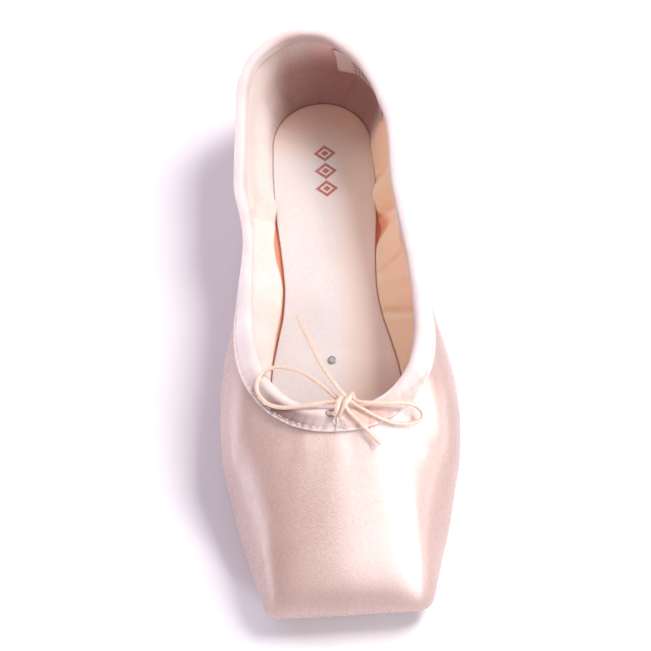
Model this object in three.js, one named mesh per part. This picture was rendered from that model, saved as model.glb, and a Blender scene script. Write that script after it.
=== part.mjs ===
// A pointe shoe standing empty on its sole: a satin upper over a stiff toe box, a thin leather
// outsole, an insole, a drawstring casing round the topline and the tied cord.
// Millimetres. X across the shoe, Y from the toe to the heel, Z up from the floor.
import * as THREE from "three";

// Driving sizes
const LENGTH = 236; // toe platform to the back of the heel
const BALL_WIDTH = 90.6; // widest place of the toe box
const HEEL_HEIGHT = 54; // top of the upper at the back
const PLATFORM_WIDTH = 62; // across the toe platform
const PLATFORM_CORNER = 7; // radius of its corners seen from above
const PLATFORM_FLARE = 0.31; // angle of the sides where the platform ends
const QUARTER_WALL = 1.8; // satin, canvas and lining
const BOX_WALL = 3; // the same, stiffened with paste
const SOLE_THICKNESS = 2.6;
const SOLE_EDGE = 0.8; // rounding of the outsole's lower edge
const SOLE_OVERLAP = 3; // outsole beyond the opening of the upper
const ARCH_RISE = 2.5; // how far the waist of the sole is off the floor
const PLEAT_DROP = 1.7; // the pleats in front of the outsole hang lower than its top
const TOE_SPRING = 2.2; // rise of the underside at the toe
const INSOLE_THICKNESS = 1.6;
const INSOLE_LAP = 4.3; // insole beyond the opening of the upper
const LASTED_MARGIN = 5; // the flat margin of the upper between insole and outsole
const SEAT_GAP = 0.3; // clearance between pieces that touch
const BINDING_THICKNESS = 0.8;
const BINDING_GAP = 0.42; // room for the edge of the upper inside the fold
const BINDING_OUTSIDE = 7; // depth of the casing on the outside of the upper
const BINDING_INSIDE = 5;
const CORD_DIAMETER = 1.5;
const CORD_SIDES = 8;
const TACK_DIAMETER = 3.2;
const TACK_HEIGHT = 0.6;
const TACK_X = -1.2;
const TACK_Y = -0.064; // share of LENGTH

// Outlines seen from above. y is a share of LENGTH from its middle, widths are shares of half
// the ball width, centre is how far the middle of the section lies to the right.
const BODY_ROWS = [
  { y: -0.424, half: 0.775, centre: -0.006 },
  { y: -0.381, half: 0.845, centre: -0.004 },
  { y: -0.318, half: 0.925, centre: 0.002 },
  { y: -0.254, half: 0.98, centre: 0.008 },
  { y: -0.199, half: 1.0, centre: 0.011 },
  { y: -0.153, half: 0.993, centre: 0.011 },
  { y: -0.106, half: 0.965, centre: 0.008 },
  { y: -0.051, half: 0.9, centre: 0.004 },
  { y: 0.0, half: 0.825, centre: 0 },
  { y: 0.064, half: 0.75, centre: 0 },
  { y: 0.148, half: 0.7, centre: -0.005 },
  { y: 0.246, half: 0.68, centre: -0.008 },
  { y: 0.347, half: 0.675, centre: -0.01 },
];
const TOPLINE_RIGHT = [
  { y: -0.042, out: 0.722 },
  { y: 0.02, out: 0.718 },
  { y: 0.068, out: 0.697 },
  { y: 0.11, out: 0.674 },
  { y: 0.157, out: 0.651 },
  { y: 0.199, out: 0.63 },
  { y: 0.263, out: 0.645 },
];
const TOPLINE_LEFT = [
  { y: -0.042, out: 0.713 },
  { y: 0.034, out: 0.709 },
  { y: 0.093, out: 0.695 },
  { y: 0.14, out: 0.722 },
  { y: 0.195, out: 0.768 },
  { y: 0.254, out: 0.755 },
  { y: 0.305, out: 0.735 },
  { y: 0.356, out: 0.72 },
];
const OPENING_ROWS = [
  { y: -0.195, half: 0.486 },
  { y: -0.148, half: 0.49 },
  { y: -0.085, half: 0.463 },
  { y: -0.021, half: 0.393 },
  { y: 0.021, half: 0.344 },
  { y: 0.076, half: 0.32 },
  { y: 0.148, half: 0.338 },
  { y: 0.233, half: 0.375 },
  { y: 0.318, half: 0.389 },
  { y: 0.381, half: 0.382 },
];
const THROAT_FRONT = -0.231; // front of the topline, share of LENGTH
const THROAT_POWER = 2.4; // of the superellipse that closes each outline at its end
const TOPLINE_BACK = 0.484;
const BACK_POWER = { right: 1.85, left: 2 };
const TOPLINE_LEAN = -0.113; // the empty heel leans to the left, share of half the ball width
const OPENING_FRONT = -0.297;
const OPENING_BACK = 0.46;
const OPENING_POWER = 2.5;
const INSOLE_FRONT = -0.415; // inside the toe box
const INSOLE_TOE = { y: -0.3, half: 0.54 };
const SECTION_POWER = 2.4; // how square the sections turn

const ARCH_START = -0.17; // the waist of the sole is off the floor between these
const ARCH_END = 0.275;

// Height of the topline, shares of HEEL_HEIGHT
const TOPLINE_HEIGHT = [
  { y: -0.231, z: 0.861 },
  { y: -0.127, z: 0.868 },
  { y: 0.0, z: 0.826 },
  { y: 0.119, z: 0.796 },
  { y: 0.254, z: 0.848 },
  { y: 0.381, z: 0.944 },
  { y: 0.484, z: 1.0 },
];

// Sections round the shoe, from the middle of the toe to the middle of the heel. body, throat,
// opening and insole say where the section crosses each outline, z is the height of its widest
// line and shoulder of its turn (shares of HEEL_HEIGHT), over and under are how far it turns in,
// above and below (shares of half the ball width), bulge is how much it is crowned above the
// shoulder, box is how much it is stiffened, columns is the number of faces to the next section.
const SECTIONS = [
  { name: "toe", z: 0.21, shoulder: 0.395, over: 0.12, under: 0.17, bulge: 0.4, box: 1,
    columns: 3 },
  { name: "front", z: 0.21, shoulder: 0.393, over: 0.13, under: 0.17, bulge: 0.36, box: 1,
    columns: 5, body: -0.4999, throat: -0.2265, opening: -0.288, insole: -0.408 },
  { name: "corner", z: 0.215, shoulder: 0.395, over: 0.24, under: 0.19, bulge: 0.22, box: 1,
    columns: 6, body: -0.4795, throat: -0.219, opening: -0.278, insole: -0.395 },
  { name: "vamp", z: 0.255, shoulder: 0.5, over: 0.54, under: 0.33, bulge: 0.22, box: 1,
    columns: 5, body: -0.339, throat: -0.196, opening: -0.255, insole: -0.315 },
  { name: "ball", z: 0.287, shoulder: 0.8, over: 0.58, under: 0.44, bulge: 0.25, box: 0.8,
    columns: 5, body: -0.195, throat: -0.15, opening: -0.18, insole: -0.18 },
  { name: "wing", z: 0.287, shoulder: 0.8, over: 0.66, under: 0.42, bulge: 0.25, box: 0.2,
    columns: 4, body: -0.059, throat: -0.06, opening: -0.059, insole: -0.059 },
  { name: "waist", z: 0.278, shoulder: 0.79, over: 0.66, under: 0.33, bulge: 0.2, box: 0,
    columns: 6, body: 0.085, throat: 0.085, opening: 0.085, insole: 0.085 },
  { name: "seat", z: 0.333, shoulder: 0.88, over: 0.66, under: 0.31, bulge: 0.1, box: 0,
    columns: 10, body: 0.318, throat: 0.29, opening: 0.318, insole: 0.318 },
  { name: "heel", z: 0.407, shoulder: 0.98, over: 0.53, under: 0.33, bulge: 0.1, box: 0,
    columns: 0 },
];

// Fineness of the surface
const UNDER_SHARES = [0.12, 0.5]; // rows of the flat underside
const UNDER_ROWS = 5; // from there to the widest line
const SHOULDER_ROWS = 5;
const UPPER_ROWS = 5; // from the shoulder to the topline
const SIDE_POINTS = 160; // on each outline's table
const CAP_POINTS = 60; // on each curve that closes an outline
const TURN_POINTS = 32; // on each turn of a section

// The tied cord, points chosen by hand
const LOOP_LEFT = [
  [-1.2, -50.4, 50.4], [-4.2, -45.9, 51.2], [-9.3, -41.5, 51.6], [-14.5, -38.6, 51.2],
  [-19.9, -36.9, 50.2], [-25.4, -37.8, 49.3], [-28.1, -42.1, 48.8], [-28.2, -45.8, 48.2],
  [-26.2, -49.5, 47.7], [-22.4, -52.2, 47.8], [-17.0, -52.9, 48.5], [-9.9, -53.0, 49.2],
  [-2.6, -52.8, 49.5],
];
const LOOP_RIGHT = [
  [6.1, -52.0, 49.7], [8.5, -52.3, 49.8], [13.1, -52.9, 49.6], [20.2, -52.9, 48.8],
  [24.9, -52.5, 47.3], [28.4, -53.7, 45.8], [30.0, -56.1, 44.6], [29.2, -58.1, 44.0],
  [25.8, -59.8, 44.1], [21.5, -59.9, 45.1], [16.3, -58.6, 46.4], [11.2, -56.2, 48.0],
  [6.4, -54.2, 48.9],
];
const END_LONG = [
  [0.6, -49.6, 50.9], [-2.2, -42.6, 53.2], [-5.4, -36.8, 54.0], [-8.7, -30.7, 54.0],
  [-11.0, -24.4, 53.4], [-13.3, -18.2, 52.4],
];
const END_SHORT = [
  [3.6, -55.8, 48.9], [7.4, -59.6, 48.2], [10.7, -63.1, 46.9], [14.6, -68.1, 45.6],
];
const KNOT = { centre: [1.9, -52.8, 49.7], size: [6.6, 4.6, 3.4] };

const HALF_BALL = BALL_WIDTH / 2;
const LASTED_STEP = SOLE_OVERLAP + 2 * SEAT_GAP; // margin hidden above the outsole
const RIM_RISE = 0.5; // the shoulder stays this far below the topline
const FOLD_FULLNESS = 1.3; // how far the fold stands over the edge, in thicknesses
const HALF_COLUMNS = SECTIONS.reduce((sum, section) => sum + section.columns, 0);

// Monotone cubic through the given knots.
function curveThrough(xs, ys) {
  const steps = xs.slice(1).map((x, i) => x - xs[i]);
  const slopes = steps.map((step, i) => (ys[i + 1] - ys[i]) / step);
  const tangents = ys.map((_, i) => {
    if (i === 0) return slopes[0];
    if (i === ys.length - 1) return slopes[i - 1];
    if (slopes[i - 1] * slopes[i] <= 0) return 0;
    const w1 = 2 * steps[i] + steps[i - 1];
    const w2 = steps[i] + 2 * steps[i - 1];
    return (w1 + w2) / (w1 / slopes[i - 1] + w2 / slopes[i]);
  });
  return (x) => {
    const at = Math.min(Math.max(x, xs[0]), xs[xs.length - 1]);
    let i = 0;
    while (i < steps.length - 1 && at > xs[i + 1]) i += 1;
    const t = (at - xs[i]) / steps[i];
    const rise = ys[i + 1] - ys[i];
    const start = steps[i] * tangents[i];
    const end = steps[i] * tangents[i + 1];
    return ys[i] + t * start + t * t * (3 * rise - 2 * start - end) + t * t * t * (start + end - 2 * rise);
  };
}

// A quarter of a superellipse from a point on the centre line to the side, as points.
function quarter(from, to, power) {
  const points = [];
  for (let i = 0; i <= CAP_POINTS; i += 1) {
    const angle = ((i / CAP_POINTS) * Math.PI) / 2;
    const across = Math.sin(angle) ** (2 / power);
    const along = Math.cos(angle) ** (2 / power);
    points.push([from.x + (to.x - from.x) * across, to.y + (from.y - to.y) * along]);
  }
  return points;
}

// A half outline with its arc length, from the toe end to the heel end.
function measured(points) {
  const lengths = [0];
  for (let i = 1; i < points.length; i += 1) {
    const dx = points[i][0] - points[i - 1][0];
    const dy = points[i][1] - points[i - 1][1];
    lengths.push(lengths[i - 1] + Math.hypot(dx, dy));
  }
  const length = lengths[lengths.length - 1];
  const at = (s) => {
    const want = Math.min(Math.max(s, 0), length);
    let low = 0;
    let high = lengths.length - 1;
    while (high - low > 1) {
      const middle = (low + high) >> 1;
      if (lengths[middle] > want) high = middle;
      else low = middle;
    }
    const t = (want - lengths[low]) / (lengths[high] - lengths[low] || 1);
    return [0, 1].map((k) => points[low][k] + t * (points[high][k] - points[low][k]));
  };
  const arcAt = (y) => {
    let i = 1;
    while (i < points.length - 1 && points[i][1] < y) i += 1;
    const t = (y - points[i - 1][1]) / (points[i][1] - points[i - 1][1] || 1);
    return lengths[i - 1] + Math.min(Math.max(t, 0), 1) * (lengths[i] - lengths[i - 1]);
  };
  return { length, at, arcAt };
}

// Points along the side through the rows of a table.
function sidePoints(ys, xs) {
  const x = curveThrough(ys, xs);
  return Array.from({ length: SIDE_POINTS - 1 }, (_, i) => {
    const y = ys[0] + ((i + 1) / SIDE_POINTS) * (ys[ys.length - 1] - ys[0]);
    return [x(y), y];
  });
}

// The widest outline: the flat platform, its corner as an arc, the side and the round heel.
function bodyOutline(side) {
  const toeY = -LENGTH / 2;
  const flat = PLATFORM_WIDTH / 2 - PLATFORM_CORNER * Math.cos(PLATFORM_FLARE);
  const centre = { x: side * flat, y: toeY + PLATFORM_CORNER };
  const shares = Array.from({ length: TURN_POINTS }, (_, i) => i / TURN_POINTS);
  const front = shares.map((share) => [side * flat * share, toeY]);
  const corner = [...shares, 1].map((share) => {
    const angle = share * (Math.PI / 2 - PLATFORM_FLARE);
    const x = centre.x + side * PLATFORM_CORNER * Math.sin(angle);
    return [x, centre.y - PLATFORM_CORNER * Math.cos(angle)];
  });
  const start = corner[corner.length - 1];
  const ys = [start[1], ...BODY_ROWS.map((row) => row.y * LENGTH)];
  const xs = [start[0], ...BODY_ROWS.map((row) => (side * row.half + row.centre) * HALF_BALL)];
  const last = { x: xs[xs.length - 1], y: ys[ys.length - 1] };
  const heel = quarter({ x: 0, y: LENGTH / 2 }, last, 2).reverse();
  return measured([...front, ...corner, ...sidePoints(ys, xs), ...heel]);
}

// An outline from a closing curve at the toe end, rows along the side, and one at the heel end.
function tableOutline(rows, front, frontPower, back, backPower) {
  const ys = rows.map((row) => row[1]);
  const xs = rows.map((row) => row[0]);
  const first = { x: xs[0], y: ys[0] };
  const last = { x: xs[xs.length - 1], y: ys[ys.length - 1] };
  const start = quarter(front, first, frontPower);
  const end = quarter(back, last, backPower).reverse();
  return measured([...start, ...sidePoints(ys, xs), ...end]);
}

function toplineOutline(side) {
  const table = side > 0 ? TOPLINE_RIGHT : TOPLINE_LEFT;
  const rows = table.map((row) => [side * row.out * HALF_BALL, row.y * LENGTH]);
  const throat = { x: 0, y: THROAT_FRONT * LENGTH };
  const back = { x: TOPLINE_LEAN * HALF_BALL, y: TOPLINE_BACK * LENGTH };
  const backPower = side > 0 ? BACK_POWER.right : BACK_POWER.left;
  return tableOutline(rows, throat, THROAT_POWER, back, backPower);
}

function openingOutline(side) {
  const rows = OPENING_ROWS.map((row) => [side * row.half * HALF_BALL, row.y * LENGTH]);
  const front = { x: 0, y: OPENING_FRONT * LENGTH };
  const back = { x: 0, y: OPENING_BACK * LENGTH };
  return tableOutline(rows, front, OPENING_POWER, back, 2);
}

// The insole follows the opening of the upper, wider by its lap, and runs on into the toe box.
function insoleOutline(side) {
  const toe = [side * INSOLE_TOE.half * HALF_BALL, INSOLE_TOE.y * LENGTH];
  const rows = OPENING_ROWS.map((row) => {
    const half = row.half * HALF_BALL + INSOLE_LAP;
    return [side * half, row.y * LENGTH];
  });
  const front = { x: 0, y: INSOLE_FRONT * LENGTH };
  const back = { x: 0, y: OPENING_BACK * LENGTH + INSOLE_LAP };
  return tableOutline([toe, ...rows], front, OPENING_POWER, back, 2);
}

const topHeight = curveThrough(
  TOPLINE_HEIGHT.map((row) => row.y * LENGTH),
  TOPLINE_HEIGHT.map((row) => row.z * HEEL_HEIGHT),
);

const smooth = (x) => {
  const t = Math.min(Math.max(x, 0), 1);
  return t * t * (3 - 2 * t);
};

// The arch under the waist and the spring of the toe, as a rise at each y.
function rise(y) {
  const t = (y / LENGTH - ARCH_START) / (ARCH_END - ARCH_START);
  const arch = t > 0 && t < 1 ? ARCH_RISE * Math.sin(Math.PI * t) ** 2 : 0;
  const front = OPENING_FRONT * LENGTH;
  const ahead = Math.max(0, (front - y) / (front + LENGTH / 2));
  return arch + TOE_SPRING * ahead * ahead;
}
const soleTop = (y) => SOLE_THICKNESS + rise(y);

// The pleats in front of the outsole reach lower than the margin above it.
function pleatDrop(y) {
  const edge = OPENING_FRONT * LENGTH - SOLE_OVERLAP - SEAT_GAP;
  return PLEAT_DROP * smooth((edge - y) / SOLE_OVERLAP);
}

// One side of the shoe as a function of the place along it and of the way up the section.
function upperSide(side) {
  const body = bodyOutline(side);
  const topline = toplineOutline(side);
  const opening = openingOutline(side);
  const insole = insoleOutline(side);
  const last = SECTIONS.length - 1;
  const arcs = (outline, key) =>
    SECTIONS.map((section, i) => {
      if (i === 0) return 0;
      if (i === last) return outline.length;
      return outline.arcAt(section[key] * LENGTH);
    });
  const bodyArcs = arcs(body, "body");
  const toTopline = curveThrough(bodyArcs, arcs(topline, "throat"));
  const toOpening = curveThrough(bodyArcs, arcs(opening, "opening"));
  const toInsole = curveThrough(bodyArcs, arcs(insole, "insole"));
  const row = (key, scale) => curveThrough(bodyArcs, SECTIONS.map((section) => section[key] * scale));
  const widest = row("z", HEEL_HEIGHT);
  const shoulder = row("shoulder", HEEL_HEIGHT);
  const over = row("over", HALF_BALL);
  const under = row("under", HALF_BALL);
  const box = row("box", 1);
  const bulge = row("bulge", 1);

  // Places of the columns along the body outline.
  const places = [];
  for (let i = 0; i < last; i += 1) {
    const { columns } = SECTIONS[i];
    for (let k = 0; k < columns; k += 1) {
      places.push(bodyArcs[i] + (k / columns) * (bodyArcs[i + 1] - bodyArcs[i]));
    }
  }
  places.push(body.length);
  const arcsEven = curveThrough(
    places.map((_, i) => i),
    places,
  );

  // The section: dense points from the opening out to the widest line, then up to the topline.
  function section(place, withPleats) {
    const c = body.at(place);
    const e = topline.at(toTopline(place));
    const a = opening.at(toOpening(place));
    const mix = (p, q, w) => [p[0] + (q[0] - p[0]) * w, p[1] + (q[1] - p[1]) * w];
    const zc = widest(place);

    const underLength = Math.hypot(c[0] - a[0], c[1] - a[1]);
    const reach = Math.min(under(place), underLength - LASTED_MARGIN);
    const flat = underLength - reach;
    const lowerPoint = (out) => {
      const [x, y] = mix(a, c, out / underLength);
      const floor = soleTop(y) + SEAT_GAP;
      const inside = Math.min(Math.max(0, (out - flat) / reach), 1);
      const turn = 1 - (1 - inside ** SECTION_POWER) ** (1 / SECTION_POWER);
      const drop = withPleats ? pleatDrop(y) * (1 - inside) : 0;
      return [x, y, floor + (zc - floor) * turn - drop];
    };
    const margin = [0, LASTED_STEP].map((out) => lowerPoint(out));
    const middles = UNDER_SHARES.map((t) => lowerPoint(LASTED_STEP + (flat - LASTED_STEP) * t));
    const lower = Array.from({ length: TURN_POINTS + 1 }, (_, i) => {
      const angle = ((i / TURN_POINTS) * Math.PI) / 2;
      return lowerPoint(flat + reach * Math.min(1, Math.sin(angle) ** (2 / SECTION_POWER)));
    });

    const ze = topHeight(e[1]);
    const run = Math.hypot(e[0] - c[0], e[1] - c[1]);
    const turnReach = over(place);
    const partial = run < turnReach;
    const full = partial ? Math.acos((1 - run / turnReach) ** (SECTION_POWER / 2)) : Math.PI / 2;
    const inwards = (angle) => 1 - Math.cos(angle) ** (2 / SECTION_POWER);
    const upwards = (angle) => Math.sin(angle) ** (2 / SECTION_POWER);
    const crown = Math.min(shoulder(place), ze - RIM_RISE);
    const upperPoint = (w, up) => {
      const [x, y] = mix(c, e, w);
      const slope = w * (1 + bulge(place) * (1 - w));
      return [x, y, zc + (crown - zc) * up + (ze - crown) * slope];
    };
    const upper = [];
    for (let i = 0; i <= TURN_POINTS; i += 1) {
      const angle = (i / TURN_POINTS) * full;
      const share = run < 1e-6 ? 0 : inwards(angle) / inwards(full);
      upper.push(upperPoint(partial ? share : (share * turnReach) / run, upwards(angle) / upwards(full)));
    }
    for (let i = 1; i <= TURN_POINTS && !partial; i += 1) {
      const w = turnReach / run + (1 - turnReach / run) * (i / TURN_POINTS);
      upper.push(upperPoint(w, 1));
    }
    return { margin, middles, lower, upper };
  }

  const insoleAt = (place) => insole.at(toInsole(place));
  return { section, insoleAt, arcsEven, box };
}

// A run of points by equal steps of length between two shares of it.
function resample(points, shares) {
  const lengths = [0];
  for (let i = 1; i < points.length; i += 1) {
    const d = [0, 1, 2].map((k) => points[i][k] - points[i - 1][k]);
    lengths.push(lengths[i - 1] + Math.hypot(...d));
  }
  const total = lengths[lengths.length - 1];
  return shares.map((share) => {
    const want = share * total;
    let i = 1;
    while (i < points.length - 1 && lengths[i] < want) i += 1;
    const t = (want - lengths[i - 1]) / (lengths[i] - lengths[i - 1] || 1);
    return [0, 1, 2].map((k) => points[i - 1][k] + t * (points[i][k] - points[i - 1][k]));
  });
}

// The share of a run's length that lies before one of its points.
function lengthShare(points, index) {
  const steps = points.slice(1).map((p, i) => Math.hypot(...p.map((v, k) => v - points[i][k])));
  const sum = (list) => list.reduce((total, step) => total + step, 0);
  return sum(steps.slice(0, index)) / sum(steps);
}

const SIDES = { right: upperSide(1), left: upperSide(-1) };

// A closed ring of columns: the right side from toe to heel, then the left side back to the toe.
function ringColumns(columnOf) {
  const columns = [];
  for (let i = 0; i <= HALF_COLUMNS; i += 1) columns.push(columnOf(SIDES.right, i));
  for (let i = HALF_COLUMNS - 1; i > 0; i -= 1) columns.push(columnOf(SIDES.left, i));
  return columns;
}

// Rows of one column, from the opening to the topline, close together round the shoulder.
function columnRows(side, index, withPleats) {
  const { margin, middles, lower, upper } = side.section(side.arcsEven(index), withPleats);
  const underShares = Array.from({ length: UNDER_ROWS }, (_, i) => i / UNDER_ROWS);
  const split = Math.min(0.5, 1.15 * lengthShare(upper, TURN_POINTS));
  const shares = [];
  for (let i = 0; i < SHOULDER_ROWS; i += 1) shares.push((split * i) / SHOULDER_ROWS);
  for (let i = 0; i <= UPPER_ROWS; i += 1) shares.push(split + ((1 - split) * i) / UPPER_ROWS);
  const rows = [...margin, ...middles, ...resample(lower, underShares), ...resample(upper, shares)];
  return rows.map((p) => new THREE.Vector3(...p));
}

// Outward normals of a grid of columns that closes round the shoe.
function gridNormals(columns) {
  const count = columns.length;
  return columns.map((column, i) =>
    column.map((_, j) => {
      const before = columns[(i + count - 1) % count][j];
      const after = columns[(i + 1) % count][j];
      const below = column[Math.max(j - 1, 0)];
      const above = column[Math.min(j + 1, column.length - 1)];
      const round = new THREE.Vector3().subVectors(after, before);
      const up = new THREE.Vector3().subVectors(above, below);
      return round.cross(up).normalize();
    }),
  );
}

// A mesh from rings of equal count. Each ring closes on itself. Closed rings make a torus,
// and open ones are capped by ladders from their right half to their left half.
function ringGeometry(rings, closed) {
  const count = rings[0].length;
  const positions = rings.flat().flatMap((p) => [p.x, p.y, p.z]);
  const index = [];
  const quad = (a, b, c, d) => index.push(a, b, c, a, c, d);
  const spans = closed ? rings.length : rings.length - 1;
  for (let r = 0; r < spans; r += 1) {
    const low = r * count;
    const high = ((r + 1) % rings.length) * count;
    for (let i = 0; i < count; i += 1) {
      const j = (i + 1) % count;
      quad(low + i, low + j, high + j, high + i);
    }
  }
  if (!closed) {
    const top = (rings.length - 1) * count;
    for (let i = 0; i < count / 2; i += 1) {
      const mirror = (k) => (count - k) % count;
      const ladder = [i, i + 1, mirror(i + 1), mirror(i)];
      const corners = ladder.filter((k, n) => ladder.indexOf(k) === n);
      for (let k = 1; k < corners.length - 1; k += 1) {
        index.push(corners[0], corners[k + 1], corners[k]);
        index.push(top + corners[0], top + corners[k], top + corners[k + 1]);
      }
    }
  }
  const geometry = new THREE.BufferGeometry();
  geometry.setAttribute("position", new THREE.Float32BufferAttribute(positions, 3));
  geometry.setIndex(index);
  return geometry;
}

const moved = (point, normal, distance) => point.clone().addScaledVector(normal, distance);
const rowsAsRings = (columns) => columns[0].map((_, j) => columns.map((column) => column[j]));

// The surface with and without the bulk of the pleats, and its normals.
const OUTER = ringColumns((side, i) => columnRows(side, i, true));
const SMOOTH = ringColumns((side, i) => columnRows(side, i, false));
const NORMALS = gridNormals(SMOOTH);
const FIRST_UNDER = 2 + UNDER_SHARES.length; // rows before the section turns up
const WIDEST_ROW = FIRST_UNDER + UNDER_ROWS;
const TOP_ROW = SMOOTH[0].length - 1;
const BOX = ringColumns((side, i) => side.box(side.arcsEven(i)));

// Wall thickness: thickest round the sides and the shoulder of the toe box.
function wallAt(column, row) {
  const up = smooth((row - FIRST_UNDER) / UNDER_ROWS);
  const down = 1 - 0.8 * smooth((row - WIDEST_ROW - SHOULDER_ROWS) / UPPER_ROWS);
  return QUARTER_WALL + (BOX_WALL - QUARTER_WALL) * BOX[column] * up * down;
}
const INNER = SMOOTH.map((column, i) =>
  column.map((point, j) => moved(point, NORMALS[i][j], -wallAt(i, j))),
);

function upperGeometry() {
  return ringGeometry([...rowsAsRings(OUTER), ...rowsAsRings(INNER).reverse()], true);
}

// An outline moved outwards, in the plane.
function offsetRing(ring, distance) {
  return ring.map((point, i) => {
    const before = ring[(i + ring.length - 1) % ring.length];
    const after = ring[(i + 1) % ring.length];
    const along = new THREE.Vector3(after.x - before.x, after.y - before.y, 0).normalize();
    return new THREE.Vector3(point.x + along.y * distance, point.y - along.x * distance, 0);
  });
}
const atHeight = (ring, height) => ring.map((p) => new THREE.Vector3(p.x, p.y, height(p.y)));
const OPENING = SMOOTH.map((column) => column[0]);

function outsoleGeometry() {
  const edge = offsetRing(OPENING, SOLE_OVERLAP);
  const foot = offsetRing(OPENING, SOLE_OVERLAP - SOLE_EDGE);
  return ringGeometry(
    [
      atHeight(foot, rise),
      atHeight(edge, (y) => rise(y) + SOLE_EDGE),
      atHeight(edge, soleTop),
    ],
    false,
  );
}

function insoleGeometry() {
  const plug = offsetRing(OPENING, -SEAT_GAP);
  const flange = ringColumns((side, i) => {
    const [x, y] = side.insoleAt(side.arcsEven(i));
    return new THREE.Vector3(x, y, 0);
  });
  const seat = (y) => soleTop(y) + SEAT_GAP + QUARTER_WALL + SEAT_GAP;
  return ringGeometry(
    [
      atHeight(plug, (y) => soleTop(y) + SEAT_GAP),
      atHeight(plug, seat),
      atHeight(flange, seat),
      atHeight(flange, (y) => seat(y) + INSOLE_THICKNESS),
    ],
    false,
  );
}
const insoleTop = (y) => soleTop(y) + QUARTER_WALL + 2 * SEAT_GAP + INSOLE_THICKNESS;

// A hairpin of cloth over the topline, worked out from the upper's own surface.
function bindingGeometry() {
  const columns = SMOOTH.map((_, i) => {
    const below = (distance, surface) => {
      let left = distance;
      for (let j = TOP_ROW; j > 0; j -= 1) {
        const step = surface[i][j].distanceTo(surface[i][j - 1]);
        if (left <= step) return surface[i][j].clone().lerp(surface[i][j - 1], left / step);
        left -= step;
      }
      return surface[i][0].clone();
    };
    const normal = NORMALS[i][TOP_ROW];
    const up = new THREE.Vector3().subVectors(SMOOTH[i][TOP_ROW], SMOOTH[i][TOP_ROW - 1]).normalize();
    const outside = (distance, off) => moved(below(distance, SMOOTH), normal, off);
    const inside = (distance, off) => moved(below(distance, INNER), normal, -off);
    const top = (across, off) => {
      const middle = SMOOTH[i][TOP_ROW].clone().lerp(INNER[i][TOP_ROW], across);
      return moved(middle, up, off);
    };
    const far = BINDING_GAP + BINDING_THICKNESS;
    return [
      outside(BINDING_OUTSIDE, BINDING_GAP),
      outside(BINDING_OUTSIDE, far),
      outside(BINDING_OUTSIDE / 2, far),
      outside(0, far),
      top(0, far * 0.8).addScaledVector(normal, far * 0.6),
      top(0.5, far * FOLD_FULLNESS),
      top(1, far * 0.8).addScaledVector(normal, -far * 0.6),
      inside(0, far),
      inside(BINDING_INSIDE, far),
      inside(BINDING_INSIDE, BINDING_GAP),
      top(1, BINDING_GAP).addScaledVector(normal, -BINDING_GAP),
      top(0, BINDING_GAP).addScaledVector(normal, BINDING_GAP),
      outside(BINDING_OUTSIDE / 2, BINDING_GAP),
    ];
  });
  return ringGeometry(rowsAsRings(columns), true);
}

function cordGeometry(points) {
  const path = new THREE.CatmullRomCurve3(points.map((p) => new THREE.Vector3(...p)));
  const section = new THREE.Shape(
    Array.from({ length: CORD_SIDES }, (_, i) => {
      const angle = (i / CORD_SIDES) * 2 * Math.PI;
      const radius = CORD_DIAMETER / 2;
      return new THREE.Vector2(radius * Math.cos(angle), radius * Math.sin(angle));
    }),
  );
  const steps = Math.ceil(path.getLength() / (2 * CORD_DIAMETER));
  return new THREE.ExtrudeGeometry(section, { extrudePath: path, steps });
}

function knotGeometry() {
  const geometry = new THREE.SphereGeometry(0.5, 14, 8);
  geometry.scale(...KNOT.size);
  return geometry;
}

function tackGeometry() {
  const radius = TACK_DIAMETER / 2;
  const profile = [
    new THREE.Vector2(0, 0),
    new THREE.Vector2(radius, 0),
    new THREE.Vector2(radius, TACK_HEIGHT / 2),
    new THREE.Vector2(radius * 0.6, TACK_HEIGHT),
    new THREE.Vector2(0, TACK_HEIGHT),
  ];
  return new THREE.LatheGeometry(profile, 16).rotateX(Math.PI / 2);
}

// Signed volume, to turn a mesh whose faces point inwards.
function outwards(source) {
  const geometry = source.index ? source : source.clone();
  const position = geometry.getAttribute("position");
  const corners = geometry.index ? geometry.index.array : [...Array(position.count).keys()];
  const point = (i) => new THREE.Vector3().fromBufferAttribute(position, i);
  let volume = 0;
  for (let i = 0; i < corners.length; i += 3) {
    volume += point(corners[i]).dot(point(corners[i + 1]).cross(point(corners[i + 2])));
  }
  if (volume < 0 && geometry.index) {
    const turned = [];
    for (let i = 0; i < corners.length; i += 3) turned.push(corners[i], corners[i + 2], corners[i + 1]);
    geometry.setIndex(turned);
  }
  return geometry;
}

function piece(name, geometry, material) {
  const mesh = new THREE.Mesh(outwards(geometry), material);
  mesh.name = name;
  return mesh;
}

const satin = new THREE.MeshStandardMaterial({ color: "#ddb8ae", roughness: 0.35, metalness: 0 });
const casing = new THREE.MeshStandardMaterial({ color: "#f3e3df", roughness: 0.7, metalness: 0 });
const leather = new THREE.MeshStandardMaterial({ color: "#c9a184", roughness: 0.6, metalness: 0 });
const twill = new THREE.MeshStandardMaterial({ color: "#e8cfc2", roughness: 0.9, metalness: 0 });
const elastic = new THREE.MeshStandardMaterial({ color: "#e8cdbb", roughness: 0.6, metalness: 0 });
const steel = new THREE.MeshStandardMaterial({ color: "#8b8783", roughness: 0.4, metalness: 0.9 });

const shoe = new THREE.Group();
shoe.add(piece("upper", upperGeometry(), satin));
shoe.add(piece("outsole", outsoleGeometry(), leather));
shoe.add(piece("insole", insoleGeometry(), twill));
shoe.add(piece("binding", bindingGeometry(), casing));

const tack = piece("tack", tackGeometry(), steel);
tack.position.set(TACK_X, TACK_Y * LENGTH, insoleTop(TACK_Y * LENGTH) + SEAT_GAP);
shoe.add(tack);

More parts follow.
